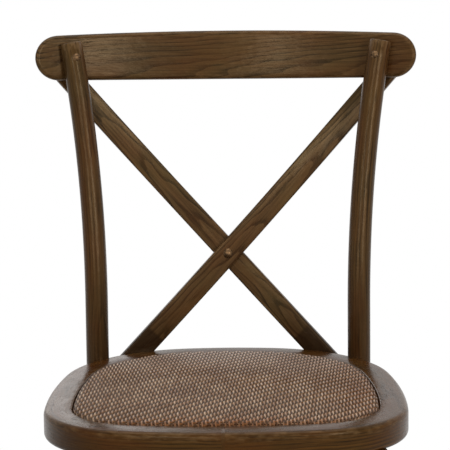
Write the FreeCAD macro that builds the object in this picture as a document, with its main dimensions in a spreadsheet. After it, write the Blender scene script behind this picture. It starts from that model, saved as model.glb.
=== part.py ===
import FreeCAD, Part

# Cross back dining chair: a bentwood seat ring, two rear legs that run up to a curved crest rail,
# an X of two bent slats between them, two tapered front legs, four arched braces under the ring
# and a crowned seat board covered with woven cane.
# The feature that takes most skill is the pair of slats that cross on one curved surface.
# Frame: -Y is the front, +Z is up, and the origin is on the floor in the middle of the chair's
# outline. The seat's own middle lies seat_y from the origin. Millimetres.

import math
import os

import Sketcher
from FreeCAD import Placement, Rotation, Vector

doc = FreeCAD.newDocument("cross_back_chair")

# Driving dimensions, one cell each.
SIZES = [
    ("seat_height", 455, "floor to the top of the seat ring"),
    ("seat_y", -39.5, "middle of the seat from the origin"),
    ("seat_width", 451, "seat ring over its sides"),
    ("seat_depth", 446, "seat ring, front edge to rear edge"),
    ("ring_thickness", 35, "seat ring, top to underside"),
    ("ring_band", 35, "width of the ring's top that shows round the seat"),
    ("ring_ledge", 16, "ledge inside the ring that carries the seat board"),
    ("ledge_depth", 14, "ring's top down to the ledge"),
    ("ring_edge", 6.5, "rounding of the ring's outer edges"),
    ("ring_lip", 2, "rounding of the ring's inner top edge"),
    ("front_sweep", 750, "radius of the ring's front edge"),
    ("side_sweep", 800, "radius of the ring's side edges"),
    ("rear_sweep", 480, "radius of the ring's rear edge"),
    ("front_corner", 120, "radius of the ring's front corners"),
    ("rear_corner", 177, "radius of the ring's rear corners"),
    ("widest_in", 145, "where the ring is widest, behind its front edge"),
    ("cane_gap", 0.8, "clearance between the cane and the ring"),
    ("cane_thickness", 1.6, "woven cane cover"),
    ("seat_crown", 8.5, "height of the seat's middle above the ring's top"),
    ("crown_span", 216, "distance from the middle at which the crown would be level with the ring"),
    ("board_shoulder", 6, "rounding of the seat board's upper edge"),
    ("post_radius", 15, "rear leg at the seat"),
    ("post_top_radius", 14.6, "rear leg at its upper end"),
    ("post_foot_radius", 12.5, "rear leg at the floor"),
    ("post_in", 52, "rear leg in from the side of the ring, at the seat"),
    ("post_ahead", 57.5, "rear leg ahead of the ring's rear edge, at the seat"),
    ("post_top", 867, "height of the rear leg's upper end"),
    ("flare_start", 520, "height above which the rear leg curves outward"),
    ("flare_out", 31.5, "how far the rear leg's top stands outward"),
    ("lean_start", 480, "height where the rear leg's backward bend begins"),
    ("lean_end", 610, "height where the rear leg's backward bend ends"),
    ("lean_back", 66, "how far the rear leg's top stands back"),
    ("splay_start", 430, "height where the rear leg's lower bend begins"),
    ("splay_end", 270, "height where the rear leg's lower bend ends"),
    ("rear_splay_out", 14, "how far the rear foot stands outward"),
    ("rear_splay_back", 56, "how far the rear foot stands back"),
    ("leg_in", 45.5, "front leg in from the side of the ring, under it"),
    ("leg_behind", 52, "front leg behind the ring's front edge, under it"),
    ("leg_top_radius", 16, "front leg under the ring"),
    ("leg_foot_radius", 11.5, "front leg at the floor"),
    ("front_splay_out", 16, "how far the front foot stands outward"),
    ("front_splay_forward", 26, "how far the front foot stands forward"),
    ("tenon_radius", 10.5, "round tenon on top of the front leg"),
    ("tenon_length", 22, "tenon inside the ring"),
    ("glide_height", 4, "nylon glide under each foot"),
    ("glide_radius", 9.5, "nylon glide under each foot"),
    ("glide_pin", 2.5, "radius of the glide's pin"),
    ("crest_width", 503, "crest rail over its rounded ends, straight across"),
    ("crest_height", 65, "crest rail at its middle"),
    ("crest_thickness", 20, "crest rail"),
    ("crest_bend", 540, "radius of the crest rail's front face, seen from above"),
    ("crest_arch", 4500, "radius of the crest rail's top edge, seen from the front"),
    ("crest_z", 844.5, "height of the crest rail's middle"),
    ("crest_tilt", 8, "how far the crest rail leans back, in degrees"),
    ("crest_edge", 6, "rounding of the crest rail's edges"),
    ("post_let_in", 8, "depth of the rear leg let into the crest rail"),
    ("slat_width", 29.5, "cross slat"),
    ("slat_thickness", 9, "cross slat"),
    ("slat_edge", 2, "rounding of the cross slat's edges"),
    ("slat_foot", 438, "height of the middle of the slat's lower end"),
    ("slat_tip", 836, "height of the middle of the slat's upper end"),
    ("slat_let_in", 4, "depth of the slat let into the ring"),
    ("slat_gap", 2.1, "room that the curved slats need where they cross"),
    ("slat_scarf", 1.5, "depth pared off the slat's tip where it lies on the crest rail"),
    ("slat_round", 440, "radius of the surface that the slats lie on, seen from above"),
    ("cross_height", 583, "height where the slats cross"),
    ("cross_behind", 9, "where the slats cross, behind the ring's rear edge"),
    ("slat_run", 0.925, "sideways run of a slat for its rise, at the crossing"),
    ("slat_curl", 0.00015, "how much the run falls off with the rise"),
    ("arch_width", 20, "arched brace, across its plane"),
    ("arch_thickness", 13, "arched brace, in its plane"),
    ("arch_edge", 3.5, "rounding of the arched brace's edges"),
    ("arch_foot", 225, "height of the arched brace's ends"),
    ("arch_bend", 112, "radius of the arched brace's shoulders"),
    ("arch_let_in", 2.5, "depth of the leg let into the arch's end"),
    ("rivet_head", 5.6, "radius of the crest rivet's domed head"),
    ("cross_rivet_head", 6.6, "radius of the domed head where the slats cross"),
    ("rivet_dome", 2.8, "height of the domed heads"),
    ("rivet_shank", 2.5, "shank radius of the rivets"),
    ("rivet_z", 850, "height of the crest rivets"),
    ("screw_shank", 2, "shank radius of the wood screws"),
    ("screw_head", 4, "head radius of the wood screws"),
    ("screw_inset", 9, "height of the slats' screws from their ends"),
    ("screw_rise", 2.4, "height of the wood screws' heads"),
    ("bolt_shank", 3, "shank radius of the rear leg bolts"),
    ("bolt_head", 5, "head radius of the rear leg bolts"),
    ("bolt_drop", 24.5, "ring's top down to the rear leg bolts"),
]

sheet = doc.addObject("Spreadsheet::Sheet", "Sizes")
for row, (alias, value, meaning) in enumerate(SIZES, start=1):
    sheet.set("A%d" % row, meaning)
    sheet.set("B%d" % row, str(value))
    sheet.setAlias("B%d" % row, alias)
doc.recompute()


def size(alias):
    """The value of one driving dimension."""
    return float(sheet.get(alias))


SUBPARTS = []


def keep(feature, label):
    """Marks an object as a finished piece of the chair."""
    feature.Label = label
    SUBPARTS.append(feature)
    return feature


def bind(feature, expressions):
    """Ties properties to expressions over the sheet."""
    for name, expression in expressions.items():
        feature.setExpression(name, expression)
    return feature


def on_seat(feature, rise="0"):
    """Places an object that is drawn from the middle of the seat, at a given height."""
    return bind(feature, {"Placement.Base.y": "Sizes.seat_y", "Placement.Base.z": rise})


def shaped(name, shape):
    """A piece whose solid is worked out from the sheet, drawn from the middle of the seat."""
    feature = doc.addObject("Part::Feature", name)
    feature.Shape = shape
    feature.Placement = Placement(Vector(0, 0, 0), Rotation())
    return on_seat(feature)


def cut(base, tools, name):
    """base with every tool taken out of it."""
    result = doc.addObject("Part::Cut", name)
    result.Base = base
    result.Tool = tools[0] if len(tools) == 1 else fused(tools, name + "_tools")
    return result


def fused(pieces, name):
    """Several solids as one object."""
    result = doc.addObject("Part::MultiFuse", name)
    result.Shapes = pieces
    return result


def sketch_on(body, name, role, rise=None):
    """An empty sketch on one of the body's origin planes, or raised above it."""
    sketch = body.newObject("Sketcher::SketchObject", name)
    plane = [f for f in body.Origin.OriginFeatures if f.Role == role][0]
    sketch.AttachmentSupport = [(plane, "")]
    sketch.MapMode = "FlatFace"
    if rise:
        sketch.setExpression("AttachmentOffset.Base.z", rise)
    return sketch


def constrain(sketch, arguments, expression=None):
    """Adds one constraint and, if given, ties its value to the sheet."""
    row = sketch.addConstraint(Sketcher.Constraint(*arguments))
    if expression:
        sketch.setExpression("Constraints[%d]" % row, expression)


def feature_of(body, kind, name, sketch, **values):
    """A sketch-based feature of a body."""
    feature = body.newObject("PartDesign::" + kind, name)
    feature.Profile = sketch
    for prop, value in values.items():
        setattr(feature, prop, value)
    return feature


# Seat outline: eight arcs, each tangent to the next. The same centres serve for every inset.
def corner_centre(centre_a, reach_a, centre_b, reach_b):
    """Middle of a corner arc that touches two long arcs from inside, on the +X side."""
    gap = centre_b - centre_a
    along = (reach_a**2 - reach_b**2 + gap.Length**2) / (2 * gap.Length)
    across = math.sqrt(reach_a**2 - along**2)
    direction = gap / gap.Length
    normal = Vector(direction.y, -direction.x, 0)
    choices = [centre_a + direction * along + normal * across * side for side in (1, -1)]
    return max(choices, key=lambda c: c.x)


FRONT = Vector(0, size("front_sweep") - size("seat_depth") / 2, 0)
SIDE = Vector(size("seat_width") / 2 - size("side_sweep"), size("widest_in") - size("seat_depth") / 2, 0)
REAR = Vector(0, size("seat_depth") / 2 - size("rear_sweep"), 0)
FRONT_CORNER = corner_centre(FRONT, size("front_sweep") - size("front_corner"),
                             SIDE, size("side_sweep") - size("front_corner"))
REAR_CORNER = corner_centre(REAR, size("rear_sweep") - size("rear_corner"),
                            SIDE, size("side_sweep") - size("rear_corner"))


def draw_seat(sketch, inset=()):
    """Draws the seat outline, moved in by the named sizes."""
    def left(c):
        return Vector(-c.x, c.y, 0)

    offset = sum(size(alias) for alias in inset)
    minus = "".join(" - Sizes.%s" % alias for alias in inset)
    order = [("front_sweep", FRONT), ("front_corner", FRONT_CORNER), ("side_sweep", SIDE),
             ("rear_corner", REAR_CORNER), ("rear_sweep", REAR), ("rear_corner", left(REAR_CORNER)),
             ("side_sweep", left(SIDE)), ("front_corner", left(FRONT_CORNER))]

    def touch(one, two):
        """Where two neighbouring arcs meet, on the line through both centres."""
        big, small = (one, two) if size(one[0]) > size(two[0]) else (two, one)
        away = small[1] - big[1]
        return big[1] + away * ((size(big[0]) - offset) / away.Length)

    for k, (name, centre) in enumerate(order):
        circle = Part.Circle(centre, Vector(0, 0, 1), size(name) - offset)
        start = circle.parameter(touch(order[k - 1], order[k]))
        end = circle.parameter(touch(order[k], order[(k + 1) % 8]))
        if end < start:
            end += 2 * math.pi
        sketch.addGeometry(Part.ArcOfCircle(circle, start, end), False)
    for k in range(8):
        constrain(sketch, ("Tangent", k, 2, (k + 1) % 8, 1))
    for k, (name, centre) in enumerate(order):
        constrain(sketch, ("Radius", k, size(name) - offset), "Sizes.%s%s" % (name, minus))
    constrain(sketch, ("PointOnObject", 0, 3, -2))
    constrain(sketch, ("DistanceY", -1, 1, 0, 3, FRONT.y), "Sizes.front_sweep - Sizes.seat_depth / 2")
    constrain(sketch, ("PointOnObject", 4, 3, -2))
    constrain(sketch, ("DistanceY", -1, 1, 4, 3, REAR.y), "Sizes.seat_depth / 2 - Sizes.rear_sweep")
    for k, sign in ((2, ""), (6, "-")):
        centre = order[k][1]
        constrain(sketch, ("DistanceX", -1, 1, k, 3, centre.x),
                  sign + "(Sizes.seat_width / 2 - Sizes.side_sweep)")
        constrain(sketch, ("DistanceY", -1, 1, k, 3, centre.y), "Sizes.widest_in - Sizes.seat_depth / 2")


def ring_rear_y(x):
    """Rear face of the seat ring at a distance x from the middle."""
    side = abs(x) - REAR_CORNER.x
    if side < (REAR_CORNER.x / (REAR_CORNER - REAR).Length) * size("rear_corner"):
        return REAR.y + math.sqrt(size("rear_sweep")**2 - x**2)
    return REAR_CORNER.y + math.sqrt(size("rear_corner")**2 - side**2)


# Rear legs: each is one bent stick from the floor to the crest rail, upright beside the ring,
# swept back and outward above it and splayed below it.
def bent(distance, start, end, run, reach):
    """Sideways offset after a distance: none before start, a smooth bend, then straight to run at reach."""
    slope = run / (reach - (start + end) / 2)
    if distance <= start:
        return 0
    if distance < end:
        return slope * (distance - start)**2 / (2 * (end - start))
    return slope * (distance - (start + end) / 2)


def post_centre(z):
    """Middle of the left rear leg at height z, from the middle of the seat."""
    x, y = size("seat_width") / 2 - size("post_in"), size("seat_depth") / 2 - size("post_ahead")
    rise = max(0, z - size("flare_start")) / (size("post_top") - size("flare_start"))
    x += size("flare_out") * rise**2
    y += bent(z, size("lean_start"), size("lean_end"), size("lean_back"), size("post_top"))
    top = size("splay_start")
    down = (top - z, 0, top - size("splay_end"))
    x += bent(*down, size("rear_splay_out"), top)
    y += bent(*down, size("rear_splay_back"), top)
    return Vector(x, y, z)


def post_radius(z):
    """Radius of the rear leg at height z: it tapers a little toward both ends."""
    middle = size("post_radius")
    if z > size("flare_start"):
        share = (z - size("flare_start")) / (size("post_top") - size("flare_start"))
        return middle + (size("post_top_radius") - middle) * share
    if z < size("splay_start"):
        return middle + (size("post_foot_radius") - middle) * (1 - z / size("splay_start"))
    return middle


def post_direction(z):
    """Direction of the rear leg's axis at height z."""
    step = post_centre(z + 1) - post_centre(z - 1)
    return step / step.Length


def post_solid(side):
    """The rear leg of one side, a little too long at the floor."""
    low, high = size("splay_end"), size("splay_start")
    heights = [-6 + (low + 6) * k / 4 for k in range(4)] + [low + (high - low) * k / 3 for k in range(4)]
    low, high = size("lean_start"), size("post_top")
    heights += [low + (high - low) * k / 6 for k in range(7)]
    rings = []
    for z in heights:
        centre, axis = post_centre(z), post_direction(z)
        circle = Part.Circle(Vector(centre.x * side, centre.y, z), Vector(axis.x * side, axis.y, axis.z),
                             post_radius(max(z, 0)))
        rings.append(Part.Wire([circle.toShape()]))
    return Part.makeLoft(rings, True, False)


# Everything that stands on the floor ends on the glides, so one box trims all four feet.
floor_trim = doc.addObject("Part::Box", "floor_trim")
bind(floor_trim, {"Length": "Sizes.seat_width * 2", "Width": "Sizes.seat_depth * 2", "Height": "50",
                  "Placement.Base.x": "-Sizes.seat_width", "Placement.Base.y": "-Sizes.seat_depth",
                  "Placement.Base.z": "Sizes.glide_height - 50"})

post_blanks = {"left": shaped("post_blank_left", post_solid(1)),
               "right": shaped("post_blank_right", post_solid(-1))}
SIGN = {"left": 1, "right": -1}


# Turned hardware: a shank along the local Z axis with its head on the far side of the origin.
def domed_rivet(name, head, shank_length):
    """A rivet: a domed head of the named radius above z = 0 and a shank below it."""
    body = doc.addObject("PartDesign::Body", name)
    profile = sketch_on(body, name + "_profile", "XZ_Plane")
    radius, dome, shank = size(head), size("rivet_dome"), size("rivet_shank")
    ball = (radius**2 + dome**2) / (2 * dome)
    middle = Vector(0, dome - ball, 0)
    low = math.atan2(-middle.y, radius)
    profile.addGeometry(Part.ArcOfCircle(Part.Circle(middle, Vector(0, 0, 1), ball), low, math.pi / 2), False)
    corners = [Vector(0, dome, 0), Vector(0, -shank_length, 0), Vector(shank, -shank_length, 0),
               Vector(shank, 0, 0), Vector(radius, 0, 0)]
    for a, b in zip(corners, corners[1:]):
        profile.addGeometry(Part.LineSegment(a, b), False)
    constrain(profile, ("Coincident", 0, 2, 1, 1))
    for k in range(1, 4):
        constrain(profile, ("Coincident", k, 2, k + 1, 1))
    constrain(profile, ("Coincident", 4, 2, 0, 1))
    constrain(profile, ("PointOnObject", 0, 3, -2))
    constrain(profile, ("Vertical", 1))
    constrain(profile, ("PointOnObject", 1, 1, -2))
    constrain(profile, ("Horizontal", 2))
    constrain(profile, ("Vertical", 3))
    constrain(profile, ("PointOnObject", 4, 2, -1))
    constrain(profile, ("Horizontal", 4))
    constrain(profile, ("DistanceX", -1, 1, 4, 2, radius), "Sizes." + head)
    constrain(profile, ("DistanceX", -1, 1, 3, 1, shank), "Sizes.rivet_shank")
    constrain(profile, ("DistanceY", -1, 1, 0, 2, dome), "Sizes.rivet_dome")
    constrain(profile, ("DistanceY", 2, 2, -1, 1, shank_length))
    turn = feature_of(body, "Revolution", name + "_turn", profile, Angle=360)
    turn.ReferenceAxis = (profile, ["V_Axis"])
    return body


def aim(feature, point, direction):
    """Puts an object's origin at a point of the seat's frame, its Z axis along a direction."""
    feature.Placement = Placement(point + Vector(0, size("seat_y"), 0),
                                  Rotation(Vector(0, 0, 1), direction))
    return feature


def screw(name, point, direction, length, head="screw_head", shank="screw_shank"):
    """A round-headed screw whose head stands up along direction from point."""
    stem = doc.addObject("Part::Cylinder", name + "_stem")
    bind(stem, {"Radius": "Sizes." + shank})
    stem.Height = length
    aim(stem, point - direction * length, direction)
    top = doc.addObject("Part::Cone", name + "_top")
    bind(top, {"Radius1": "Sizes." + head, "Radius2": "Sizes.%s * 0.6" % head, "Height": "Sizes.screw_rise"})
    aim(top, point, direction)
    return fused([stem, top], name)


# Crest rail: a board bent to an arc, with round ends, a slightly arched top and rounded edges.
crest_body = doc.addObject("PartDesign::Body", "crest_body")
face = sketch_on(crest_body, "crest_outline", "XZ_Plane")
half, low = size("crest_width") / 2, -size("crest_height") / 2
arch = Part.Circle(Vector(0, -low - size("crest_arch"), 0), Vector(0, 0, 1), size("crest_arch"))
end_radius = 29.7
end_x = half - end_radius
lean = math.asin(end_x / (size("crest_arch") - end_radius))
face.addGeometry(Part.LineSegment(Vector(-end_x, low, 0), Vector(end_x, low, 0)), False)
face.addGeometry(Part.ArcOfCircle(Part.Circle(Vector(end_x, low + end_radius, 0), Vector(0, 0, 1), end_radius),
                                  -math.pi / 2, math.pi / 2 - lean), False)
face.addGeometry(Part.ArcOfCircle(arch, math.pi / 2 - lean, math.pi / 2 + lean), False)
face.addGeometry(Part.ArcOfCircle(Part.Circle(Vector(-end_x, low + end_radius, 0), Vector(0, 0, 1), end_radius),
                                  math.pi / 2 + lean, math.pi * 3 / 2), False)
for k in range(4):
    constrain(face, ("Tangent", k, 2, (k + 1) % 4, 1))
constrain(face, ("Symmetric", 0, 1, 0, 2, -2))
constrain(face, ("PointOnObject", 2, 3, -2))
constrain(face, ("DistanceY", 0, 1, -1, 1, -low), "Sizes.crest_height / 2")
constrain(face, ("Radius", 2, size("crest_arch")), "Sizes.crest_arch")
constrain(face, ("DistanceY", 2, 3, -1, 1, size("crest_arch") + low), "Sizes.crest_arch - Sizes.crest_height / 2")
constrain(face, ("DistanceX", 0, 1, 0, 2, 2 * end_x))
face.setExpression("Constraints[%d]" % (face.ConstraintCount - 1), "Sizes.crest_width - Sizes.crest_height * 0.914")
board = feature_of(crest_body, "Pad", "crest_board", face, Midplane=True)
board.setExpression("Length", "Sizes.crest_width")
hollow = sketch_on(crest_body, "crest_front_arc", "XY_Plane")
hollow.addGeometry(Part.Circle(Vector(0, -size("crest_bend"), 0), Vector(0, 0, 1), size("crest_bend")), False)
constrain(hollow, ("PointOnObject", 0, 3, -2))
constrain(hollow, ("Radius", 0, size("crest_bend")), "Sizes.crest_bend")
constrain(hollow, ("DistanceY", 0, 3, -1, 1, size("crest_bend")), "Sizes.crest_bend")
front_cut = feature_of(crest_body, "Pocket", "crest_front", hollow, Midplane=True)
front_cut.setExpression("Length", "Sizes.crest_height * 3")
back = sketch_on(crest_body, "crest_rear_arc", "XY_Plane")
back.addGeometry(Part.Circle(Vector(0, -size("crest_bend"), 0), Vector(0, 0, 1),
                             size("crest_bend") + size("crest_thickness")), False)
back.addGeometry(Part.Circle(Vector(0, -size("crest_bend"), 0), Vector(0, 0, 1), size("crest_bend") * 2), False)
constrain(back, ("PointOnObject", 0, 3, -2))
constrain(back, ("Coincident", 0, 3, 1, 3))
constrain(back, ("Radius", 0, size("crest_bend") + size("crest_thickness")),
          "Sizes.crest_bend + Sizes.crest_thickness")
constrain(back, ("DistanceY", 0, 3, -1, 1, size("crest_bend")), "Sizes.crest_bend")
constrain(back, ("Radius", 1, size("crest_bend") * 2), "Sizes.crest_bend * 2")
rear_cut = feature_of(crest_body, "Pocket", "crest_rear", back, Midplane=True)
rear_cut.setExpression("Length", "Sizes.crest_height * 3")
doc.recompute()

# The long edges are those that run round the front and rear faces, on the two bending radii.
bent_faces = [f for f in rear_cut.Shape.Faces
              if isinstance(f.Surface, Part.Cylinder) and abs(f.Surface.Axis.z) > 0.99]
long_edges = []
for number, edge in enumerate(rear_cut.Shape.Edges, start=1):
    if any(edge.isSame(other) for f in bent_faces for other in f.Edges):
        long_edges.append("Edge%d" % number)
crest_round = crest_body.newObject("PartDesign::Fillet", "crest_round")
crest_round.Base = (rear_cut, long_edges)
crest_round.setExpression("Radius", "Sizes.crest_edge")

# The rail's front face passes behind each rear leg so that the leg is let in by post_let_in.
at_rail = post_centre(size("rivet_z"))
reach = size("crest_bend") - (post_radius(size("rivet_z")) - size("post_let_in"))
CREST_AXIS_Y = at_rail.y - math.sqrt(reach**2 - at_rail.x**2)
crest_front_y = CREST_AXIS_Y + size("crest_bend")
crest_body.Placement = Placement(Vector(0, crest_front_y + size("seat_y"), size("crest_z")),
                                 Rotation(Vector(1, 0, 0), -size("crest_tilt")))
crest_body.setExpression("Placement.Base.z", "Sizes.crest_z")


def crest_rear_y(x, z):
    """Rear face of the crest rail at x and z, from the middle of the seat."""
    level = CREST_AXIS_Y + math.sqrt((size("crest_bend") + size("crest_thickness"))**2 - x**2)
    return level + (z - size("crest_z")) * math.tan(math.radians(size("crest_tilt")))


# Cross slats: both lie on one curved surface, one slat's thickness apart where they cross.
def slat_x(z):
    """Middle of the slat from the chair's middle, for the slat that rises toward +X."""
    rise = z - size("cross_height")
    return size("slat_run") * rise - size("slat_curl") * rise**2


def drop(x):
    """How far the slats' surface comes forward away from the middle."""
    return x**2 / (2 * size("slat_round"))


def surface_y(x, z):
    """The slats' surface: let into the ring below, into the crest rail above, bowed back between."""
    half_slat = size("slat_thickness") / 2
    ring_top, tip = size("seat_height"), size("slat_tip")
    low_y = ring_rear_y(slat_x(ring_top)) + half_slat - size("slat_let_in") + drop(slat_x(ring_top))
    high_y = crest_rear_y(slat_x(tip), tip) + half_slat - size("slat_scarf") + drop(slat_x(tip))
    cross_y = size("seat_depth") / 2 + size("cross_behind")
    anchors = [(ring_top, low_y), (size("cross_height"), cross_y), (tip, high_y)]
    total = 0
    for i, (zi, yi) in enumerate(anchors):
        weight = 1
        for j, (zj, yj) in enumerate(anchors):
            if j != i:
                weight *= (z - zj) / (zi - zj)
        total += yi * weight
    return total - drop(x)


def slat_point(z, side, layer):
    """Middle of a slat at height z; layer is +1 behind the crossing and -1 in front of it."""
    reach = (size("slat_tip") - size("slat_foot")) / 2
    near = max(0, 1 - ((z - size("cross_height")) / reach)**2)
    shift = layer * (size("slat_thickness") + size("slat_gap")) / 2 * near**1.5
    return Vector(side * slat_x(z), surface_y(slat_x(z), z) + shift, z)


def slat_section(z, side, layer):
    """Rounded oblong across a slat at height z."""
    middle = slat_point(z, side, layer)
    along = slat_point(z + 2, side, layer) - slat_point(z - 2, side, layer)
    along = along / along.Length
    outward = Vector(middle.x / size("slat_round"), 1, 0)
    normal = outward - along * outward.dot(along)
    normal = normal / normal.Length
    across = along.cross(normal)
    w, t, r = size("slat_width") / 2, size("slat_thickness") / 2, size("slat_edge")
    c = r * (1 - math.sqrt(0.5))

    def at(u, v):
        return middle + across * u + normal * v

    edges = []
    for k in range(4):
        su, sv = ((1, 1), (-1, 1), (-1, -1), (1, -1))[k]
        tu, tv = ((1, 1), (-1, 1), (-1, -1), (1, -1))[(k + 1) % 4]
        if su == sv:
            first, mid, last = at(su * w, sv * (t - r)), at(su * (w - c), sv * (t - c)), at(su * (w - r), sv * t)
            start = at(tu * (w - r), tv * t)
        else:
            first, mid, last = at(su * (w - r), sv * t), at(su * (w - c), sv * (t - c)), at(su * w, sv * (t - r))
            start = at(tu * w, tv * (t - r))
        edges.append(Part.Arc(first, mid, last).toShape())
        edges.append(Part.LineSegment(last, start).toShape())
    return Part.Wire(edges)


def slat_solid(side, layer):
    """One bent slat."""
    foot, tip = size("slat_foot"), size("slat_tip")
    return Part.makeLoft([slat_section(foot + (tip - foot) * k / 8, side, layer) for k in range(9)], True, False)


slat_blanks = {"front": shaped("slat_blank_front", slat_solid(1, -1)),
               "rear": shaped("slat_blank_rear", slat_solid(-1, 1))}

# Rivets: one through each rear leg into the crest rail, one where the slats cross.
crest_rivets = {}
for side in ("left", "right"):
    centre = Vector(at_rail.x * SIGN[side], at_rail.y, at_rail.z)
    toward = Vector(0, CREST_AXIS_Y, at_rail.z) - centre
    toward = toward / toward.Length
    rivet = domed_rivet("crest_rivet_" + side, "rivet_head", 31)
    aim(rivet, centre + toward * (post_radius(at_rail.z) - 0.9), toward)
    crest_rivets[side] = keep(rivet, "crest_rivet_" + side)
cross_middle = Vector(0, surface_y(0, size("cross_height")), size("cross_height"))
cross_slope = surface_y(0, size("cross_height") + 1) - surface_y(0, size("cross_height") - 1)
cross_normal = Vector(0, -2, cross_slope)
cross_normal = cross_normal / cross_normal.Length
cross_rivet = domed_rivet("cross_rivet", "cross_rivet_head", 16)
aim(cross_rivet, cross_middle + cross_normal * size("slat_thickness"), cross_normal)
keep(cross_rivet, "cross_rivet")


# Screws: through the slats' upper ends into the crest rail and through their feet into the ring.
def slat_screw(name, z, side, layer, length):
    """A screw whose head sits on the slat's rear face."""
    section = slat_point(z, side, layer)
    outward = Vector(section.x / size("slat_round"), 1, 0)
    along = slat_point(z + 2, side, layer) - slat_point(z - 2, side, layer)
    along = along / along.Length
    normal = outward - along * outward.dot(along)
    normal = normal / normal.Length
    return screw(name, section + normal * (size("slat_thickness") / 2), normal, length)


upper_screws = [slat_screw("upper_screw_front", size("slat_tip") - size("screw_inset"), 1, -1, 20),
                slat_screw("upper_screw_rear", size("slat_tip") - size("screw_inset"), -1, 1, 20)]
lower_screws = [slat_screw("lower_screw_front", size("slat_foot") + size("screw_inset"), 1, -1, 28),
                slat_screw("lower_screw_rear", size("slat_foot") + size("screw_inset"), -1, 1, 28)]
keep(fused(upper_screws, "slat_screws_upper"), "slat_screws_upper")
keep(fused(lower_screws, "slat_screws_lower"), "slat_screws_lower")

# Seat ring: bentwood hoop with a ledge inside that carries the seat board.
ring_body = doc.addObject("PartDesign::Body", "ring_body")
on_seat(ring_body, "Sizes.seat_height - Sizes.ring_thickness")
outline = sketch_on(ring_body, "ring_outline", "XY_Plane")
draw_seat(outline)
hoop = feature_of(ring_body, "Pad", "ring_pad", outline)
hoop.setExpression("Length", "Sizes.ring_thickness")
opening = sketch_on(ring_body, "ring_opening", "XY_Plane", "Sizes.ring_thickness")
draw_seat(opening, ("ring_band", "ring_ledge"))
through = feature_of(ring_body, "Pocket", "ring_through", opening)
through.setExpression("Length", "Sizes.ring_thickness")
rebate = sketch_on(ring_body, "ring_rebate", "XY_Plane", "Sizes.ring_thickness")
draw_seat(rebate, ("ring_band",))
ledge = feature_of(ring_body, "Pocket", "ring_ledge", rebate)
ledge.setExpression("Length", "Sizes.ledge_depth")
doc.recompute()


def edges_at(shape, height, inset):
    """Edges of the seat outline at a height, at a given inset from the outer face."""
    found = []
    for number, edge in enumerate(shape.Edges, start=1):
        box = edge.BoundBox
        if box.ZLength > 0.01 or abs(box.ZMin - height) > 0.01 or not isinstance(edge.Curve, Part.Circle):
            continue
        radii = [size(name) - inset for name in
                 ("front_sweep", "side_sweep", "rear_sweep", "front_corner", "rear_corner")]
        if any(abs(edge.Curve.Radius - r) < 0.01 for r in radii):
            found.append("Edge%d" % number)
    return found


outer_edges = edges_at(ledge.Shape, size("ring_thickness"), 0) + edges_at(ledge.Shape, 0, 0)
ring_round = ring_body.newObject("PartDesign::Fillet", "ring_round")
ring_round.Base = (ledge, outer_edges)
ring_round.setExpression("Radius", "Sizes.ring_edge")
doc.recompute()
lip_edges = edges_at(ring_round.Shape, size("ring_thickness"), size("ring_band"))
ring_lip = ring_body.newObject("PartDesign::Fillet", "ring_lip")
ring_lip.Base = (ring_round, lip_edges)
ring_lip.setExpression("Radius", "Sizes.ring_lip")
doc.recompute()


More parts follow.
